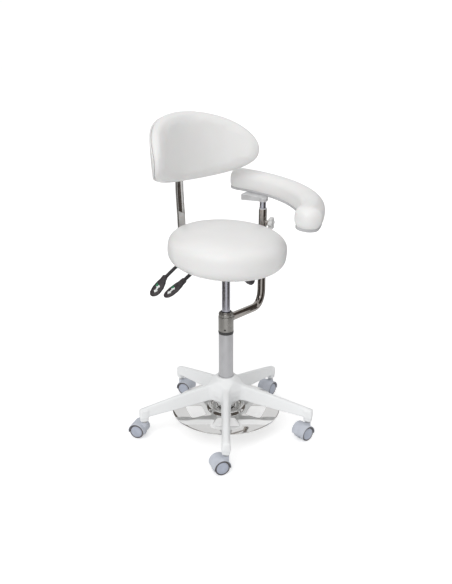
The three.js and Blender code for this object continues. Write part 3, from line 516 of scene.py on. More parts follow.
def meshed(field, low, high, voxel):
    """Points and quads of a field's zero level, pulled onto the exact surface."""
    low, high = np.array(low, float) - MARGIN * voxel, np.array(high, float) + MARGIN * voxel
    axes = [np.arange(low[i], high[i] + voxel, voxel) for i in range(3)]
    values = np.empty([len(a) for a in axes], np.float32)
    for i, x in enumerate(axes[0]):
        y, z = np.meshgrid(axes[1], axes[2], indexing="ij")
        values[i] = field(np.column_stack([np.full(y.size, x), y.ravel(), z.ravel()])).reshape(y.shape)
    grid = openvdb.FloatGrid(float(values.max()))
    grid.copyFromArray(values)
    points, triangles, quads = grid.convertToPolygons(isovalue=0.0)
    points = low + points.astype(float) * voxel
    for _ in range(PULLS):
        points = points - pull(field, points, voxel)
    return points, [list(map(int, f)) for f in quads] + [list(map(int, f)) for f in triangles]


def slope_of(field, points):
    """A field's slope at each point, by central differences."""
    slope = np.empty_like(points)
    for axis in range(3):
        shift = np.zeros(3)
        shift[axis] = PROBE
        slope[:, axis] = (field(points + shift) - field(points - shift)) / (2 * PROBE)
    return slope


def field_piece(name, field, low, high, voxel, place=lambda points: points):
    """A hard piece meshed from a field, moved by place(), its shading taken from the field's slope."""
    points, faces = meshed(field, low, high, voxel)
    normals = slope_of(field, points)
    normals /= np.maximum(np.linalg.norm(normals, axis=1), TINY)[:, None]
    normals = place(points + normals) - place(points)
    piece = mesh_piece(name, place(points), faces, sharp=180)
    piece.data.normals_split_custom_set_from_vertices(normals.tolist())
    return piece


def pull(field, points, voxel):
    """The step that takes each point onto the field's zero level, no longer than a voxel."""
    slope = slope_of(field, points)
    step = slope * (field(points) / np.maximum((slope ** 2).sum(1), TINY))[:, None]
    length = np.linalg.norm(step, axis=1)[:, None]
    return step * np.minimum(1, voxel / np.maximum(length, TINY))


# ---------------- cushions
CLOTH_FRAMES = 20
CLOTH = {
    "quality": 5, "mass": 0.3, "tension_stiffness": 20, "compression_stiffness": 20, "shear_stiffness": 10,
    "bending_stiffness": 2.0, "use_pressure": True, "uniform_pressure_force": 4.0,
    "vertex_group_mass": "held",
}
SMOOTHING_ROUNDS = 3


def neighbours(mesh):
    edges = np.empty(len(mesh.edges) * 2, int)
    mesh.edges.foreach_get("vertices", edges)
    return edges.reshape(-1, 2)


def averaged(values, edges, rounds):
    """Values at vertices, each averaged with its neighbours a number of times."""
    count = np.bincount(edges.ravel(), minlength=len(values))[:, None]
    for _ in range(rounds):
        total = np.zeros_like(values)
        np.add.at(total, edges[:, 0], values[edges[:, 1]])
        np.add.at(total, edges[:, 1], values[edges[:, 0]])
        values = 0.5 * values + 0.5 * total / np.maximum(count, 1)
    return values


def coordinates(mesh):
    flat = np.empty(len(mesh.vertices) * 3)
    mesh.vertices.foreach_get("co", flat)
    return flat.reshape(-1, 3)


def inflated(piece, held, cap):
    """Blows a cushion's skin up as cloth. held says which points (in mm) stay put; cap is in millimetres."""
    rest = coordinates(piece.data)
    moved = rest
    group = piece.vertex_groups.new(name="held")
    group.add([int(i) for i in np.flatnonzero(held(rest / MM))], 1.0, "REPLACE")
    cloth = piece.modifiers.new("puff", "CLOTH")
    for key, value in CLOTH.items():
        setattr(cloth.settings, key, value)
    cloth.settings.effector_weights.gravity = 0
    cloth.point_cache.frame_start, cloth.point_cache.frame_end = 1, CLOTH_FRAMES
    scene = bpy.context.scene
    for number in range(1, CLOTH_FRAMES + 1):
        scene.frame_set(number)
    shaped = piece.evaluated_get(bpy.context.evaluated_depsgraph_get())
    moved = coordinates(shaped.data)
    piece.modifiers.remove(cloth)
    piece.vertex_groups.clear()
    scene.frame_set(1)
    shift = moved - rest
    length = np.linalg.norm(shift, axis=1)[:, None]
    shift *= np.minimum(1, cap * MM / np.maximum(length, TINY))
    shift = averaged(shift, neighbours(piece.data), SMOOTHING_ROUNDS)
    piece.data.vertices.foreach_set("co", (rest + shift).ravel())
    piece.data.update()
    return piece


def applied(piece):
    """The piece with its modifiers made part of its mesh."""
    bpy.context.view_layer.update()
    made = bpy.data.meshes.new_from_object(piece.evaluated_get(bpy.context.evaluated_depsgraph_get()))
    piece.modifiers.clear()
    piece.data = made
    made.shade_smooth()
    return piece


def refined(piece):
    """Applies a subdivision surface."""
    soft = piece.modifiers.new("soft", "SUBSURF")
    soft.levels = soft.render_levels = 1
    return applied(piece)


def displaced(piece, offset):
    """Moves each vertex along its normal by offset(points in mm), in millimetres."""
    mesh = piece.data
    points = coordinates(mesh)
    normals = np.array([v.normal for v in mesh.vertices])
    points += normals * (offset(points / MM) * MM)[:, None]
    mesh.vertices.foreach_set("co", points.ravel())
    mesh.update()
    return piece


# The seat: a superelliptic round cushion, flat underneath, leaning forward about the tilt pin.
SEAT_RADIUS, SEAT_CROWN, SEAT_BELLY = 191.5, 64.5, 54.0
SEAT_BELLY_REACH = 66.0  # where the belly would end if it weren't flat underneath
SEAT_SCALE, SEAT_EDGE = 60.0, 5.0
SEAT_WIDEST_Z = 632.3
SEAT_POWER, SEAT_BELLY_POWER = 2 / 0.65, 3.4
SEAT_HELD_RADIUS = 135.0
TILT_ORIGIN = (0.0, -35.0, 558.0)
SEAT_TILT = 4.5
SKIN_VOXEL, ARM_SKIN_VOXEL = 6.0, 5.0
PLEAT_DEPTH, PLEAT_RADIUS, PLEAT_WIDTH = 0.8, 137.0, 22.0
PLEAT_START, PLEAT_RISE = 22.0, 25.0  # below the widest level
STAPLE_COUNT, STAPLE_RADIUS, STAPLE_HALF, STAPLE_WIRE = 44, 131.0, 4.5, 0.45
STAPLE_LEG, STAPLE_CROWN = 1.5, -0.4  # heights of its ends in the cushion and of its back


def seat_frame(p):
    """Row-frame points from the middle of the seat's widest level, with its tilt taken off."""
    local = into_place(p, TILT_ORIGIN, SEAT_TILT) + np.array(TILT_ORIGIN)
    return local - np.array([0, 0, SEAT_WIDEST_Z])


def seat_field(p):
    q = seat_frame(p)
    z = q[:, 2]
    above = z > 0
    reach = np.where(above, SEAT_CROWN, SEAT_BELLY_REACH)
    power = np.where(above, SEAT_POWER, SEAT_BELLY_POWER)
    dome = superellipse(polar(q)[0] / SEAT_RADIUS, np.abs(z) / reach, power, SEAT_SCALE)
    return blend_max(dome, -SEAT_BELLY - z, SEAT_EDGE)


def seat_held(p):
    q = seat_frame(p)
    return (polar(q)[0] < SEAT_HELD_RADIUS) & (q[:, 2] < 0)


def seat_gathers(points):
    """Pleats where the cover is pulled round the belly to its staples."""
    q = seat_frame(points)
    rho, angle = polar(q)
    low = np.clip((-q[:, 2] - PLEAT_START) / PLEAT_RISE, 0, 1)
    near = np.exp(-(((rho - PLEAT_RADIUS) / PLEAT_WIDTH) ** 2))
    wave = np.sin(38 * angle + 2.1 * np.sin(5 * angle)) + 0.5 * np.sin(61 * angle + 1.3)
    return PLEAT_DEPTH * wave * near * low


def add_seat():
    low, high = span("seat_cushion")
    cushion = mesh_piece("seat_pad", *meshed(seat_field, low, high, SKIN_VOXEL))
    inflated(cushion, seat_held, 3.5)
    refined(cushion)
    displaced(cushion, seat_gathers)
    stand_in(cushion, "seat_cushion")


def add_staples():
    """The ring of staples that holds the cover, on the cushion's underside."""
    ends = [(side * STAPLE_HALF, z) for side, z in
            ((-1, STAPLE_LEG), (-1, STAPLE_CROWN), (1, STAPLE_CROWN), (1, STAPLE_LEG))]
    wire = filleted([(STAPLE_RADIUS, y, z) for y, z in ends], 0.8, 3)
    points, faces = swept(wire, lambda _: round_section(STAPLE_WIRE, 8))
    middle = (0, -TILT_ORIGIN[1], SEAT_WIDEST_Z - SEAT_BELLY - TILT_ORIGIN[2])
    parts = []
    for i in range(STAPLE_COUNT):
        local = placed(points, middle, 360 * i / STAPLE_COUNT)
        parts.append((placed(local, TILT_ORIGIN, pitch=SEAT_TILT), faces))
    dress(mesh_piece("seat_staples", *joined(*parts)), FINISHES["zinc_steel"], "seat")


# The backrest: a slab bent round an upright axis, with rounded edges, leaning back.
BACK_RADIUS, BACK_CENTRE_Y = 259.0, -73.0
BACK_HALF_ANGLE = math.radians(58.6)
BACK_TIP_Z, BACK_RISE, BACK_DROP = 920.0, 134.0, 92.0
BACK_TOP_POWER, BACK_BOTTOM_POWER = 0.6, 0.36
BACK_ORIGIN, BACK_LEAN = (0.0, 216.0, 920.0), -5.0
BACK_REACH = BACK_RADIUS * BACK_HALF_ANGLE
BACK_TIP_SHARE = 0.55  # of the full thickness, left at the tips
BACK_INSET, BACK_POWER = 1.0, 2.35
BACK_FRONT, BACK_MIDDLE, BACK_REAR = 26.0, -1.0, 12.5  # depths of the cushion from the middle arc
BACK_SWELL, BACK_SWELL_WIDTH = 0.06, 45.0
FRONT_ROLL, REAR_ROLL = 36.0, 9.0  # how far in from the rim each side starts to curve
FRONT_SCALE, REAR_SCALE = 22.0, 9.0
BACK_HELD_DEPTH = 6.0
SHELL_INSET, SHELL_DEPTH, SHELL_HALF, SHELL_EDGE = 6.0, 15.6, 2.95, 4.0
SHELL_SWELL, SHELL_SWELL_WIDTH = 1.6, 30.0


def back_frame(p):
    """Arc length along the backrest, depth behind its middle arc, and height, for row-frame points."""
    q = into_place(p, BACK_ORIGIN, BACK_LEAN) + np.array(BACK_ORIGIN)
    radius = np.hypot(q[:, 0], q[:, 1] - BACK_CENTRE_Y)
    angle = np.arctan2(q[:, 0], q[:, 1] - BACK_CENTRE_Y)
    return BACK_RADIUS * angle, radius - BACK_RADIUS, q[:, 2]


def back_outline():
    share = -np.cos(np.linspace(0, math.pi, 60))
    rest = np.clip(1 - share ** 2, 0, 1)
    top = np.column_stack([share * BACK_REACH, BACK_TIP_Z + BACK_RISE * rest ** BACK_TOP_POWER])
    bottom = np.column_stack([share * BACK_REACH, BACK_TIP_Z - BACK_DROP * rest ** BACK_BOTTOM_POWER])
    return np.vstack([top, bottom[-2:0:-1]])


BACK_OUTLINE = back_outline()


def back_parts(p, inset):
    """Distance in from the outline, depth, and the share of full thickness left towards the tips."""
    along, depth, height = back_frame(p)
    rim = polygon(np.column_stack([along, height]), BACK_OUTLINE) + inset
    share = np.clip(np.abs(along) / BACK_REACH, 0, 1)
    return rim, depth, BACK_TIP_SHARE + (1 - BACK_TIP_SHARE) * np.sqrt(1 - share ** 4)


def back_cushion_field(p):
    """A pillow: its front rolls over to the rim in a broad curve, its rear edge is tighter."""
    rim, depth, taper = back_parts(p, BACK_INSET)
    in_front = depth < BACK_MIDDLE
    swell = BACK_FRONT * taper * (1 + BACK_SWELL * (1 - np.exp(np.minimum(rim, 0) / BACK_SWELL_WIDTH)))
    behind = (depth - BACK_MIDDLE) / (BACK_REAR * taper - BACK_MIDDLE)
    ahead = np.where(in_front, (BACK_MIDDLE - depth) / swell, behind)
    roll = np.where(in_front, FRONT_ROLL, REAR_ROLL)
    inward = np.maximum(rim + roll, 0) / roll
    scale = np.where(in_front, FRONT_SCALE, REAR_SCALE)
    return superellipse(np.maximum(ahead, 0), inward, BACK_POWER, scale)


def back_shell_field(p):
    rim, depth, taper = back_parts(p, SHELL_INSET)
    half = SHELL_HALF * taper + SHELL_SWELL * (1 - np.exp(np.minimum(rim, 0) / SHELL_SWELL_WIDTH))
    return edge_round(rim, np.abs(depth - SHELL_DEPTH * taper) - half, np.minimum(SHELL_EDGE, half * 0.98))


def add_backrest():
    low, high = span("back_cushion")
    cushion = mesh_piece("backrest_pad", *meshed(back_cushion_field, low - 12, high + 5, SKIN_VOXEL))
    inflated(cushion, lambda p: back_frame(p)[1] > BACK_HELD_DEPTH, 3.0)
    refined(cushion)
    stand_in(cushion, "back_cushion")
    low, high = span("back_shell")
    shell = field_piece("backrest_rear_cover", back_shell_field, low - 8, high + 5, 3.0)
    stand_in(shell, "back_shell")


# The arm pad: a rounded section carried along an arc, over a plate.
ARM_ANGLE, POST_RADIUS = 9.0, 214.0
POST_AT = around(POST_RADIUS, ARM_ANGLE)
PAD_RADIUS = 317.0
PAD_CENTRE = (-261.0, -10.0)
PAD_FIRST, PAD_LAST = 26.1, -67.1
PAD_BASE_Z, PAD_PITCH = 766.5, 6.0
PAD_HALF_WIDTH, PAD_HALF_HEIGHT, PAD_SCALE = 38.5, 32.5, 32.0
PAD_WIDEST, PAD_FLAT, PAD_HELD = 37.3, 3.4, 12.3  # heights over the plate's underside
PAD_LOWER_REACH = 41.5  # where its lower half would end if it weren't flat underneath
PAD_POWER, PAD_LOWER_POWER = 2.45, 3.1
NOSE_TURN, NOSE_SWELL = 16.0, 3.0  # degrees over which the front end swells, and by how much
PLATE_THICK, PLATE_HALF_WIDTH = 9.0, 35.0


def pad_frame(p):
    """Distance from the pad's middle line in plan, height over the plate's underside, and angle."""
    q = into_place(p, POST_AT + (0, 0, PAD_BASE_Z), PAD_PITCH)
    x, y = q[:, 0] - PAD_CENTRE[0], q[:, 1] - PAD_CENTRE[1]
    angle = np.degrees(np.arctan2(y, x))
    held = np.radians(np.clip(angle, PAD_LAST, PAD_FIRST))
    return np.hypot(x - PAD_RADIUS * np.cos(held), y - PAD_RADIUS * np.sin(held)), q[:, 2], angle


def pad_field(p):
    away, height, angle = pad_frame(p)
    front = np.clip((PAD_LAST + NOSE_TURN - angle) / NOSE_TURN, 0, 1)
    swell = NOSE_SWELL * front
    above = height > PAD_WIDEST
    power = np.where(above, PAD_POWER, PAD_LOWER_POWER - 0.7 * front)
    lift = np.abs(height - PAD_WIDEST) / np.where(above, PAD_HALF_HEIGHT + swell, PAD_LOWER_REACH)
    section = superellipse(away / (PAD_HALF_WIDTH + swell), lift, power, PAD_SCALE)
    return blend_max(section, PAD_FLAT - height, 4)


def plate_field(p):
    away, height, _ = pad_frame(p)
    return edge_round(away - PLATE_HALF_WIDTH, slab(height, 0, PLATE_THICK), 2)


def add_arm_pad():
    low, high = span("arm_pad")
    pad = mesh_piece("arm_cushion", *meshed(pad_field, low - 4, high + 4, ARM_SKIN_VOXEL))
    inflated(pad, lambda p: pad_frame(p)[1] < PAD_HELD, 3.5)
    refined(pad)
    stand_in(pad, "arm_pad")
    low, high = span("arm_plate")
    stand_in(field_piece("arm_pad_plate", plate_field, low - 3, high + 3, 2.2), "arm_plate", PLATE_GREY)


# ---------------- star base
LEG_COUNT, LEG_FIRST, LEG_STEP = 5, 9.0, 72.0  # degrees
STEM_RADIUS = 290.0
# radius from the column, top z, bottom z, half width at the top, half width at the bottom
LEG_STATIONS = np.array([
    [0, 172, 116, 17, 28],
    [24, 167, 116, 15, 25],
    [62, 158, 107, 10, 18],
    [130, 144, 95, 8.5, 16],
    [210, 126, 85, 8, 15],
    [278, 109.5, 76, 8, 14.5],
    [306, 102.5, 73, 8, 14],
])
LEG_END = 305.5
SOCKET_LOW, SOCKET_TOP, SOCKET_EDGE = 60.0, 100.0, 2.5
SOCKET_HALF_LENGTH, SOCKET_HALF_WIDTH, SOCKET_ROUND = 14.5, 13.5, 16.5
HUB_TOP_Z = 186.0
TUBE_BORE, BORE_FLOOR_Z, HUB_HOLE = 25.3, 94.0, 20.0
HUB_PROFILE = np.array([
    [0, 82], [33, 82], [35, 112], [52, 128], [54, 144], [47, 164], [39, 173], [32, 180],
    [31, HUB_TOP_Z], [0, HUB_TOP_Z],
])
LEG_BLEND, HUB_BLEND = 38.0, 22.0  # fillets between two legs, and between the legs and the hub


def smoothed_table(table, step=2.0, window=25):
    """A table's columns against its first one, sampled finely and averaged over a sliding window."""
    at = np.arange(table[0, 0], table[-1, 0] + step, step)
    share = np.ones(window) / window
    columns = [np.interp(at, table[:, 0], table[:, i]) for i in range(1, table.shape[1])]
    return at, [np.convolve(np.pad(column, window // 2, "reflect", reflect_type="odd"), share, "valid")
                for column in columns]


LEG_AT, LEG_SIZES = smoothed_table(LEG_STATIONS)


def leg_field(x, y, z):
    """One leg along +X, with the socket of its castor."""
    top, low, half_top, half_low = (np.interp(x, LEG_AT, size) for size in LEG_SIZES)
    share = np.clip((z - low) / (top - low), 0, 1)
    slope = np.cos(np.arctan2(half_low - half_top, top - low))
    side = (np.abs(y) - half_low + (half_low - half_top) * share) * slope
    body = blend_max(blend_max(side, (z - top) * 0.97, 6), low - z, 5)
    body = blend_max(body, x - LEG_END, 12)
    height = slab(z, SOCKET_LOW, SOCKET_TOP)
    square = np.maximum(np.abs(x - STEM_RADIUS) - SOCKET_HALF_LENGTH, np.abs(y) - SOCKET_HALF_WIDTH)
    block = edge_round(square, height, SOCKET_EDGE)
    round_block = edge_round(np.hypot(x - STEM_RADIUS, y) - SOCKET_ROUND, height, SOCKET_EDGE)
    return blend_min(body, blend_max(block, round_block, 4), 6)


def star_field(p):
    rho, angle = polar(p)
    z = p[:, 2]
    nearest = (np.degrees(angle) - LEG_FIRST + LEG_STEP / 2) % LEG_STEP - LEG_STEP / 2
    near = np.radians(nearest)
    other = np.radians(nearest - LEG_STEP * np.where(nearest > 0, 1, -1))
    hub = polygon(np.column_stack([rho, z]), HUB_PROFILE)
    legs = blend_min(*(leg_field(rho * np.cos(a), rho * np.sin(a), z) for a in (near, other)), LEG_BLEND)
    cast = blend_max(blend_min(hub, legs, HUB_BLEND), z - HUB_TOP_Z, 3)
    bore = np.minimum(np.maximum(rho - TUBE_BORE, BORE_FLOOR_Z - z), rho - HUB_HOLE)
    return np.maximum(cast, -bore)


def add_star_base():
    low, high = span("star_base")
    stand_in(field_piece("cast_base", star_field, low - 2, high + 8, 2.4), "star_base")


# ---------------- castors
WHEEL_RADIUS, TRAIL = 25.0, 20.0
CASTOR_HEADINGS = [188, 291, 117, 156, 174]
HOOD_OUTER, HOOD_INNER, HOOD_HALF, HOOD_TOP = 29.0, 26.4, 27.0, 53.0
HOOD_FIRST, HOOD_LAST = -14.0, 194.0  # degrees about the axle
HOOD_TAPER, HOOD_THINNING = 40.0, 1.9  # degrees over which its ends thin, and by how much
# dark strips inside the hood's open sides, a painted shadow under the hood's rim
SHADE_STRIP_RADIUS, SHADE_STRIP_AT, SHADE_STRIP_FIRST, SHADE_STRIP_LAST = 26.3, 25.6, -9, 189
SHADE_STRIP_SECTION = ((0, -0.7), (0, 0.9), (1.1, 0.9), (1.1, -0.7))
# the wheel on +Y: name, profile about the axle and finish
WHEEL_PARTS = (
    ("tread", [(0, 21), (21.5, 21), (21.5, 23.6), (24.2, 22.8), (25, 20.5), (25, 7), (23.5, 4.5),
               (4, 4.5), (0, 4.5)], FINISHES["castor_grey"]),
    ("ring", [(0, 22), (20.3, 22), (20.6, 24.2), (23.9, 24.0), (24.3, 21.5), (23, 21), (0, 21)], RUBBER),
    ("cap", [(0, 26), (14, 25.7), (18.6, 25.0), (20.0, 23.6), (20.0, 22), (0, 22)], HUB_CAP),
)


def hood_field(q):
    """The hood in the castor's own frame: stem on Z, wheels centred at x = TRAIL, axle along Y."""
    x, y, z = q[:, 0] - TRAIL, q[:, 1], q[:, 2] - WHEEL_RADIUS
    rho, angle = np.hypot(x, z), np.degrees(np.arctan2(z, x))
    angle = np.where(angle < -90, angle + 360, angle)
    # the shell thins towards both of its lower ends
    past = np.maximum(HOOD_FIRST - angle, angle - HOOD_LAST)
    outer = HOOD_OUTER - HOOD_THINNING * np.clip(past / HOOD_TAPER + 1, 0, 1) ** 2
    shell = blend_max(np.maximum(rho - outer, HOOD_INNER - rho), np.abs(y) - HOOD_HALF, 2.2)
    shell = np.maximum(shell, np.radians(past) * rho)
    web = np.maximum(np.maximum(rho - HOOD_INNER - 1, np.abs(y) - 3.5), -16 - z)
    boss = blend_max(np.hypot(q[:, 0], y) - 10, q[:, 2] - HOOD_TOP, 2)
    boss = np.maximum(np.maximum(boss, 36 - q[:, 2]), HOOD_INNER - rho)
    return blend_min(np.minimum(shell, web), boss, 5)


def castor_shadow_strips():
    """Dark strips inside the hood's two open sides: painted shadow under the hood's rim."""
    turns = np.radians(np.linspace(SHADE_STRIP_FIRST, SHADE_STRIP_LAST, 70))
    shadow_strips = [lofted([[((SHADE_STRIP_RADIUS - u) * math.cos(a), side * (SHADE_STRIP_AT + v), (SHADE_STRIP_RADIUS - u) * math.sin(a))
                     for u, v in SHADE_STRIP_SECTION] for a in turns]) for side in (-1, 1)]
    points, faces = joined(*shadow_strips)
    return points + (TRAIL, 0, WHEEL_RADIUS), faces


def add_castors():
    shadow_points, shadow_faces = castor_shadow_strips()
    for i, heading in enumerate(CASTOR_HEADINGS):
        at = around(STEM_RADIUS, LEG_FIRST + LEG_STEP * i)
        name = f"castor_{i + 1}"
        cover = field_piece(f"{name}_cover", hood_field, (-12, -28, 8), (51, 28, 55), 1.3,
                            lambda points: placed(points, at, heading))
        stand_in(cover, f"{name}_hood")
        # the dark strips paint the shadow under the hood's rim
        rim = mesh_piece(f"{name}_rim", placed(shadow_points, at, heading), shadow_faces)
        dress(rim, RUBBER, name)
        for side, node in ((1, "wheel_l"), (-1, "wheel_r")):
            for part, profile, finish in WHEEL_PARTS:
                points, faces = spun(profile, 72, 0.7)
                points = points[:, [0, 2, 1]] * (1, side, 1) + (TRAIL, 0, WHEEL_RADIUS)
                piece = mesh_piece(f"{name}_{node}_{part}", placed(points, at, heading), faces)
                if part == "tread":
                    stand_in(piece, f"{name}_{node}", finish)
                else:
                    dress(piece, finish, BODY_OF[f"{name}_{node}"])


# ---------------- foot disc
DISC_TOP, DISC_RADIUS = 65.0, 187.0
BEAD_RADIUS, BEAD_HALF = 58.0, 9.0
OPENING = [(80, -27), (86, -34), (128, -45), (135, -40), (137, 0), (135, 40), (128, 45), (86, 34), (80, 27)]
OPENING_REACH = 20.0  # how far the cutter goes past the disc


def disc_profile():
    """The disc's section: pivot ring, raised bead, flat web and rolled rim."""
    top = DISC_TOP
    bead = [(BEAD_RADIUS + BEAD_HALF * math.cos(a), top + BEAD_HALF * math.sin(a))
            for a in np.linspace(math.pi, 0, 15)]
    under = [(50, top - 3), (44, top - 7)]
    edge = [(DISC_RADIUS - 2.2, top), (DISC_RADIUS - 0.6, top - 0.7), (DISC_RADIUS, top - 2.2),
            (DISC_RADIUS - 0.4, top - 4.2), (DISC_RADIUS - 2.2, top - 4.6), (DISC_RADIUS - 4, top - 3)]
    return [(36, top - 7), (36, top + 7), (44, top + 7), (46.5, top)] + bead + edge + under + [(36, top - 7)]


def opening_cutter(i):
    """A prism over one opening, its corners cut three times to round them."""
    outline = np.array(OPENING, float)
    for _ in range(3):
        after = np.roll(outline, -1, axis=0)
        pairs = np.column_stack([0.75 * outline + 0.25 * after, 0.25 * outline + 0.75 * after])
        outline = pairs.reshape(-1, 2)
    points, faces = prism(outline, DISC_TOP - OPENING_REACH, DISC_TOP + OPENING_REACH)
    return placed(points, heading=LEG_FIRST + LEG_STEP * i), faces


def add_foot_disc():
    disc = mesh_piece("foot_plate", *spun(disc_profile(), 160, 0))
    cutter = mesh_piece("openings", *joined(*(opening_cutter(i) for i in range(LEG_COUNT))))
    trim = disc.modifiers.new("openings", "BOOLEAN")
    trim.operation, trim.object, trim.solver = "DIFFERENCE", cutter, "EXACT"
    applied(disc)
    bpy.data.objects.remove(cutter)
    disc.data.set_sharp_from_angle(angle=math.radians(40))
    # the brightened chrome paints a lighter reflection onto the disc
    stand_in(disc, "foot_disc", BRIGHTENED_DISC_CHROME)


# ---------------- support arm
ARM_TUBE_RADIUS = 14.0
ARM_TUBE_Z = 391.0
ARM_BEND = 52.0  # how far before the post the tube starts to rise
SLEEVE_TOP_Z = 728.0
ARM_KNOB_AT = POST_AT + (0, 0, 680.0)
ARM_KNOB_OUTWARD = around(1, -65.0)
KNOB_BOSS = [(0, 0), (10.5, 0), (9, 3), (9, 10), (0, 10)]
KNOB_BOSS_OUT = 12.0
BRACKET_AT, BRACKET_HEADING = POST_AT + (0, 0, 753.0), 110.0
BRACKET_OUTLINE = np.array([(-11, 6), (80, 6), (74, -72), (22, -72), (-11, -20)], float)
POCKET_OUTLINE = np.array([(8, 4), (68, 4), (64, -60), (30, -60), (8, -18)], float)
POCKET_TOP = 6.0
COLLAR_LOW, NUT_LOW, CONE_LOW, NUT_TOP, COLLAR_TOP = 352.0, 404.0, 412.0, 416.0, 420.0
COLLAR_RADIUS, NUT_RADIUS, COLLAR_BORE = 25.6, 24.4, 17.8
NUT_NOTCHES, NOTCH_DEPTH = 10, 0.5
WELD_RADIUS, WELD_FIRST, WELD_LAST = 14.8, 14.0, 30.0
SCREW_Z, SCREW_RADIUS, SCREW_FLOOR = 361.0, 3.0, 15.0
SCREW_OUTWARD = around(1, -143 - ARM_ANGLE)


def arm_path():
    """The tube's middle line, drawn along +X."""
    start, low, corner, rise, top = (np.array([x, 0, z], float) for x, z in (
        (24, ARM_TUBE_Z), (POST_RADIUS - ARM_BEND, ARM_TUBE_Z - 8), (POST_RADIUS - 3, ARM_TUBE_Z - 10),
        (POST_RADIUS, ARM_TUBE_Z + 48), (POST_RADIUS, SLEEVE_TOP_Z)))
    path = [start + (low - start) * t for t in np.linspace(0, 1, 8)[:-1]]
    path += [(1 - t) ** 2 * low + 2 * t * (1 - t) * corner + t * t * rise for t in np.linspace(0, 1, 28)]
    return path + [rise + (top - rise) * t for t in np.linspace(0, 1, 16)[1:]]


def add_arm_tube():
    """The bent tube with the boss that its star knob screws into."""
    points, faces = swept(arm_path(), lambda _: round_section(ARM_TUBE_RADIUS, 56), side=(0, 1, 0))
    boss_points, boss_faces = spun(KNOB_BOSS, 40, 0.8)
    base = ARM_KNOB_AT + ARM_KNOB_OUTWARD * KNOB_BOSS_OUT
    boss_points = aimed(boss_points, base, base + ARM_KNOB_OUTWARD)
    tube = joined((placed(points, heading=ARM_ANGLE), faces), (boss_points, boss_faces))
    # the darkened chrome paints the seat's shade and dark reflections onto the tube
    stand_in(mesh_piece("arm_bent_tube", *tube), "arm_tube", DARKENED_ARM_CHROME)


def collar_field(q):
    """A turned sleeve with a notched nut on top, a weld where the tube leaves it and a screw hole."""
    rho, angle = polar(q)
    x, y, z = q.T
    notches = NOTCH_DEPTH * (np.cos(NUT_NOTCHES * angle) > 0.6)
    body = edge_round(rho - COLLAR_RADIUS, slab(z, COLLAR_LOW, NUT_LOW), 1.5)
    nut = edge_round(rho - NUT_RADIUS + notches, slab(z, NUT_LOW, NUT_TOP), 1.5)
    cone = np.maximum((rho - 23) * 0.8 + (z - 415) * 0.6, slab(z, CONE_LOW, COLLAR_TOP))
    weld = np.maximum(np.hypot(y, z - ARM_TUBE_Z) - WELD_RADIUS, slab(x, WELD_FIRST, WELD_LAST))
    solid = blend_min(np.minimum(np.minimum(body, nut), cone), weld, 3.5)
    out_x, out_y, _ = SCREW_OUTWARD
    hole = np.hypot(x * out_y - y * out_x, z - SCREW_Z) - SCREW_RADIUS
    hole = np.maximum(hole, SCREW_FLOOR - (x * out_x + y * out_y))
    return np.maximum(np.maximum(solid, COLLAR_BORE - rho), -hole)


def add_arm_collar():
    collar = field_piece("arm_swivel_collar", collar_field, (-28, -28, COLLAR_LOW), (31, 28, COLLAR_TOP),
                         1.0, lambda points: placed(points, heading=ARM_ANGLE))
    stand_in(collar, "arm_collar")


def arm_knob_field(q):
    """A six-lobed head with a hollow face, on a short neck."""
    rho, angle = polar(q)
    z = q[:, 2]
    head = edge_round((rho - 19.6 - 2.9 * np.cos(6 * angle)) * 0.9, slab(z, 23, 38), 3.5)
    neck = edge_round(rho - 8.5, slab(z, 21.5, 30), 1)
    hollow = np.hypot(rho, z - 52) - 17
    return np.maximum(blend_min(head, neck, 2), -hollow)


def add_arm_knob():
    knob = field_piece("arm_star_knob", arm_knob_field, (-24, -24, 20), (24, 24, 40), 0.9,
                       lambda points: aimed(points, ARM_KNOB_AT, ARM_KNOB_AT + ARM_KNOB_OUTWARD))
    stand_in(knob, "arm_lock_knob", KNOB_GREY)


def bracket_place(points):
    return placed(points, BRACKET_AT, BRACKET_HEADING)


def bracket_field(q):
    """A plate round the post, hollow underneath, that ends where the arm pad's plate lies."""
    z = q[:, 2]
    under_plate = pad_frame(bracket_place(q))[1] - 0.5
    edge = blend_min(polygon(q[:, :2], BRACKET_OUTLINE) + 0.5, polar(q)[0] - 12.5, 4)
    plate = edge_round(edge, np.maximum(-z, under_plate), 1.8)
    pocket = np.maximum(polygon(q[:, :2], POCKET_OUTLINE), z - POCKET_TOP)
    return np.maximum(plate, -blend_max(pocket, z - POCKET_TOP, 3))


def add_arm_bracket():
    bracket = field_piece("arm_cast_bracket", bracket_field, (-14, -73, 0), (81, 15, 30), 1.3,
                          bracket_place)
    stand_in(bracket, "arm_bracket", BRACKET_SILVER)


# ---------------- backrest bar
BAR_HALF, BAR_THICK, BAR_CORNER = 15.0, 5.5, 3.6
BAR_ROUTE = [(0, 106, 569.8), (0, 135, 569.8), (0, 165, 570.8), (0, 190, 578.8), (0, 209, 599.8),
             (0, 213, 650), (0, 216, 710), (0, 221, 790), (0, 221, 850), (0, 221, 914)]


def measured(path):
    """Distance along a path at each of its points."""
    return np.concatenate([[0], np.cumsum(np.linalg.norm(np.diff(path, axis=0), axis=1))])


def resampled(path, at):
    """The points of a path at some distances along it."""
    length = measured(path)
    return np.column_stack([np.interp(at, length, column) for column in np.transpose(path)])


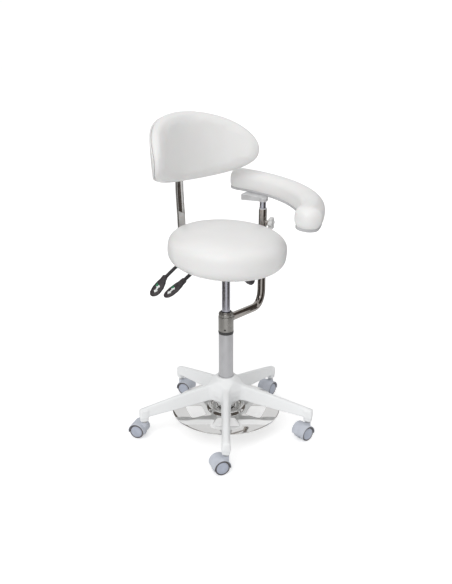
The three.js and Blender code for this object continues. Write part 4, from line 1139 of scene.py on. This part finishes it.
def smooth_path(points, count):
    """A Catmull-Rom curve through points, resampled at even distances."""
    points = np.array(points, float)
    ends = np.vstack([2 * points[0] - points[1], points, 2 * points[-1] - points[-2]])
    fine = []
    for p0, p1, p2, p3 in zip(ends, ends[1:], ends[2:], ends[3:]):
        for t in np.linspace(0, 1, 24, endpoint=False):
            fine.append(0.5 * (2 * p1 + (p2 - p0) * t + (2 * p0 - 5 * p1 + 4 * p2 - p3) * t ** 2
                               + (3 * p1 - p0 - 3 * p2 + p3) * t ** 3))
    fine.append(points[-1])
    return resampled(fine, np.linspace(0, measured(fine)[-1], count))


def bar_section():
    start = (0, -BAR_THICK)
    loop = [start, (BAR_HALF, -BAR_THICK), (BAR_HALF, BAR_THICK), (-BAR_HALF, BAR_THICK),
            (-BAR_HALF, -BAR_THICK), start]
    return [tuple(c) for c in filleted(loop, BAR_CORNER, 5)][:-1]


def add_back_bar():
    section = bar_section()
    bar = swept(smooth_path(BAR_ROUTE, 110), lambda _: section, side=(1, 0, 0))
    stand_in(mesh_piece("backrest_bar", *bar), "back_bar")


# ---------------- levers and tension knob
LEVERS = {
    "back_lever": dict(hinge=(-42, 38, 559), bends=[(-67, 40, 565), (-99, 128, 572)],
                       neck=(-167, 116, 545), tip=(-244, 82, 512)),
    "seat_lever": dict(hinge=(-42, 4, 559), bends=[(-67, 8, 566), (-85, 60, 567)],
                       neck=(-156, 39, 550), tip=(-236, 32, 519)),
}
ROD_RADIUS, RIB_PITCH, RIB_DEPTH, RIB_STEPS = 4.8, 5.4, 1.3, 6
SLEEVE_LEAD = 24.0  # the sleeve starts this far before the last bend
HINGE_HUB = [(0, -6), (7, -6), (7, 6), (0, 6)]
# share of the grip's length, half width, half thickness
GRIP_STATIONS = np.array([
    [-0.1, 8, 7], [0.05, 10.5, 7.4], [0.22, 15.5, 6.9], [0.5, 19.4, 6], [0.76, 17.6, 5], [1, 8.5, 3.8],
])
GRIP_POWER, GRIP_COLLAR = 2.6, 9.2
# outlines as a share of the grip's length and millimetres across it
MARKS = (
    ("panel", [(0.32, -8.5), (0.50, -8.5), (0.50, 0.5), (0.32, 0.5)], MARK_GREEN),
    ("arrow", [(0.42, 2.5), (0.53, 9.5), (0.53, 5.5), (0.72, 5.5), (0.72, 9.5), (0.83, 2.5),
               (0.72, -4.5), (0.72, -0.5), (0.53, -0.5), (0.53, -4.5)], MARK_WHITE),
)
MARK_LOW, MARK_TOP = 4.4, 6.3
TENSION_AT = np.array([0, -86, 553], float)
TENSION_LENGTH = 34.0


def add_lever(name, lever):
    """A rod in a ribbed sleeve, its hinge hub, and a grip that runs from neck to tip."""
    hinge, neck, tip = (np.array(lever[key], float) for key in ("hinge", "neck", "tip"))
    length = np.linalg.norm(tip - neck)
    along = (tip - neck) / length
    across = np.cross((0, 0, 1), along)
    across /= np.linalg.norm(across)
    basis = np.array([along, across, np.cross(along, across)])
    corners = np.array([hinge, *lever["bends"]], float)
    bare = measured(corners)[-1] - SLEEVE_LEAD
    route = filleted([*corners, neck, neck + along * 12], 14, 8)
    at = np.arange(0, measured(route)[-1], RIB_PITCH / RIB_STEPS)

    def section(i):
        rib = RIB_DEPTH * (0.5 - 0.5 * math.cos(2 * math.pi * at[i] / RIB_PITCH))
        return round_section(ROD_RADIUS + (rib if at[i] > bare else 0), 24)

    rod = mesh_piece(f"{name}_sleeved_rod", *swept(resampled(route, at), section))
    stand_in(rod, f"{name}_rod", SOFT_SLEEVE)
    hub_points, hub_faces = spun(HINGE_HUB, 32, 1)
    hub = mesh_piece(f"{name}_hinge_hub", hub_points[:, [0, 2, 1]] + hinge, hub_faces)
    dress(hub, FINISHES["black_plastic"], name)

    def grip_field(q):
        x, y, z = q.T
        _, widths, heights = GRIP_STATIONS.T
        half, thick = (np.interp(x / length, GRIP_STATIONS[:, 0], sizes) for sizes in (widths, heights))
        leaf = superellipse(np.abs(y) / half, np.abs(z) / thick, GRIP_POWER, thick)
        leaf = blend_max(leaf, x - length - 1, 14)
        leaf = blend_max(leaf, -0.06 * length - x, 3)
        return blend_min(leaf, edge_round(np.hypot(y, z) - GRIP_COLLAR, slab(x, -11, 3), 1.5), 2)

    def place(points):
        return points @ basis + neck

    grip = field_piece(f"{name}_grip", grip_field, (-12, -21, -9), (length + 2, 21, 9), 1.1, place)
    stand_in(grip, f"{name}_paddle", LEVER_GRIP)
    for part, outline, finish in MARKS:
        points, faces = prism(np.array(outline) * (length, 1), MARK_LOW, MARK_TOP)
        dress(mesh_piece(f"{name}_mark_{part}", place(points), faces), finish, name)


def tension_knob_field(q):
    """A grip that swells towards its end, with twelve shallow flutes."""
    rho, angle = polar(q)
    z = q[:, 2]
    size = np.interp(z, [0, 5, 14, 28, 33], [8, 9, 12.6, 13.8, 11])
    flutes = 0.7 * np.clip((z - 4) / 8, 0, 1) * (1 - np.cos(12 * angle)) * 0.5
    return blend_max(rho - size + flutes, slab(z, 0, TENSION_LENGTH), 4)


def add_tension_knob():
    knob = field_piece("tension_hand_knob", tension_knob_field, (-15, -15, 0), (15, 15, TENSION_LENGTH),
                       0.9, lambda points: aimed(points, TENSION_AT, TENSION_AT + (0, -1, 0)))
    stand_in(knob, "tension_knob", LEVER_GRIP)


# ---------------- fasteners
WASHER_THICK = 1.2
BOLT_RADIUS, BOLT_HEIGHT = 5.5, 4.0
SCREW_HEAD_RADIUS, SCREW_HEAD_HEIGHT = 4.5, 3.0
SEAT_PLATE_UNDERSIDE = 574.0


def bolt(at, radius, height):
    """A hexagon head on a washer, pointing down from a point."""
    low, washer_low = -height - WASHER_THICK, -WASHER_THICK
    head = [(0, low), (radius * 0.85, low), (radius, -height), (radius, washer_low), (0, washer_low)]
    washer = [(0, washer_low), (radius * 1.5, washer_low), (radius * 1.5, 0), (0, 0)]
    parts = [spun(head, 6, 0), spun(washer, 32, 0.3)]
    return joined(*((points + np.array(at, float), faces) for points, faces in parts))


def add_fasteners():
    """Bolts that clamp the mechanism, and screws through the seat plate into the board."""
    low, _ = span("mechanism_housing")
    bolts = [bolt((x, y, low[2]), BOLT_RADIUS, BOLT_HEIGHT) for x in (-30, 30) for y in (-38, 66)]
    screws = []
    _, hinge_y, hinge_z = TILT_ORIGIN
    for x in (-68, 68):
        for y in (-62, 82):
            at = (x, y - hinge_y, SEAT_PLATE_UNDERSIDE - hinge_z)
            points, faces = bolt(at, SCREW_HEAD_RADIUS, SCREW_HEAD_HEIGHT)
            screws.append((placed(points, TILT_ORIGIN, pitch=SEAT_TILT), faces))
    for name, parts, body in (("housing_bolts", bolts, "carriage"), ("seat_screws", screws, "seat")):
        piece = mesh_piece(name, *joined(*parts), sharp=30)
        dress(piece, FINISHES["zinc_steel"], body)


# ---------------- CAD nodes that stay in view
BEVEL_WIDTH = 0.5


def dress_cad_nodes():
    """Gives every CAD node its slot's finish and smooth shading, and each one still shown a small bevel."""
    for name, node in frame["nodes"].items():
        node.data.materials.clear()
        node.data.materials.append(FINISHES[SLOTS[name]].material)
        node.data.shade_smooth()
        node.data.set_sharp_from_angle(angle=math.radians(32))
        if node.hide_render:
            continue
        bevel = node.modifiers.new("edges", "BEVEL")
        bevel.width = BEVEL_WIDTH * MM
        bevel.segments = 2
        bevel.limit_method = "ANGLE"
        bevel.angle_limit = math.radians(35)
        bevel.harden_normals = True


# ---------------- floor and light, in metres
FLOOR_RADIUS, FLOOR_SIDES = 60.0, 64
FLOOR_GLOW = 0.42  # what the floor adds to the picture, like a lit sweep, without lighting the stool
WORLD_LIGHT, WORLD_SEEN = 0.68, 1.02
FLAG_RADIUS, FLAG_HEIGHT, FLAG_STRIPS = 1.15, 2.2, 5
FLAGS = [(162, 76), (286, 66), (94, 44), (355, 40)]  # heading from the stool and width, in degrees


def plain_object(name, points, faces, finish):
    mesh = bpy.data.meshes.new(name)
    mesh.from_pydata(points, [], faces)
    mesh.materials.append(finish.material)
    return add_object(name, mesh)


def add_floor():
    """A disc that adds an even glow where the camera sees it."""
    corners = [(FLOOR_RADIUS * math.cos(a), FLOOR_RADIUS * math.sin(a), 0)
               for a in np.linspace(0, 2 * math.pi, FLOOR_SIDES, endpoint=False)]
    paint = Finish("floor_paint", (0.8, 0.8, 0.8), 0.7, vary=0.004, patch=2)
    seen = paint.node("ShaderNodeLightPath").outputs["Is Camera Ray"]
    paint.set(Emission_Color=(1, 1, 1, 1), Emission_Strength=paint.spread(seen, 0, 1, 0, FLOOR_GLOW))
    floor = plain_object("floor", corners, [tuple(range(FLOOR_SIDES))], paint)


def add_flags():
    """Dark panels round the stool that only the bright metal mirrors, as in a photographer's studio."""
    cloth = Finish("flag_cloth", (0.075, 0.062, 0.053), 0.9, vary=0.3, patch=2)
    row = FLAG_STRIPS + 1
    faces = [(k, k + 1, k + 1 + row, k + row) for k in range(FLAG_STRIPS)]
    for i, (heading, width) in enumerate(FLAGS):
        angles = np.radians(np.linspace(heading - width / 2, heading + width / 2, row))
        points = [(FLAG_RADIUS * math.cos(a), FLAG_RADIUS * math.sin(a), z)
                  for z in (0.0, FLAG_HEIGHT) for a in angles]
        flag = plain_object(f"flag_{i}", points, faces, cloth)
        flag.visible_camera = flag.visible_diffuse = flag.visible_shadow = flag.visible_transmission = False


def add_sun(name, toward, strength, spread):
    """A broad soft light from a direction; spread is in degrees."""
    data = bpy.data.lights.new(name, "SUN")
    data.energy = strength
    data.angle = math.radians(spread)
    light = add_object(name, data)
    light.rotation_euler = (-Vector(toward)).to_track_quat("-Z", "Y").to_euler()


def add_world():
    """An even pale room, brighter to the camera than as a light."""
    world = bpy.data.worlds.new("studio")
    world.use_nodes = True
    bpy.context.scene.world = world
    tree = world.node_tree
    shade = tree.nodes["Background"]
    shade.inputs["Color"].default_value = (1, 1, 1, 1)
    path = tree.nodes.new("ShaderNodeLightPath")
    seen = tree.nodes.new("ShaderNodeMix")
    seen.data_type = "FLOAT"
    tree.links.new(path.outputs["Is Camera Ray"], seen.inputs[0])
    seen.inputs[2].default_value, seen.inputs[3].default_value = WORLD_LIGHT, WORLD_SEEN
    tree.links.new(seen.outputs[0], shade.inputs["Strength"])


add_camera()
add_floor()
add_world()
add_flags()
add_sun("key", (-1.0, -0.3, 0.8), 1.1, 50)
add_sun("top", (0.1, -0.2, 1.0), 0.35, 70)
bpy.context.scene.view_settings.view_transform = "Standard"

add_seat()
add_staples()
add_backrest()
add_arm_pad()
add_star_base()
add_castors()
add_foot_disc()
add_arm_tube()
add_arm_collar()
add_arm_knob()
add_arm_bracket()
add_back_bar()
for lever_name, lever_parts in LEVERS.items():
    add_lever(lever_name, lever_parts)
add_tension_knob()
add_fasteners()
dress_cad_nodes()
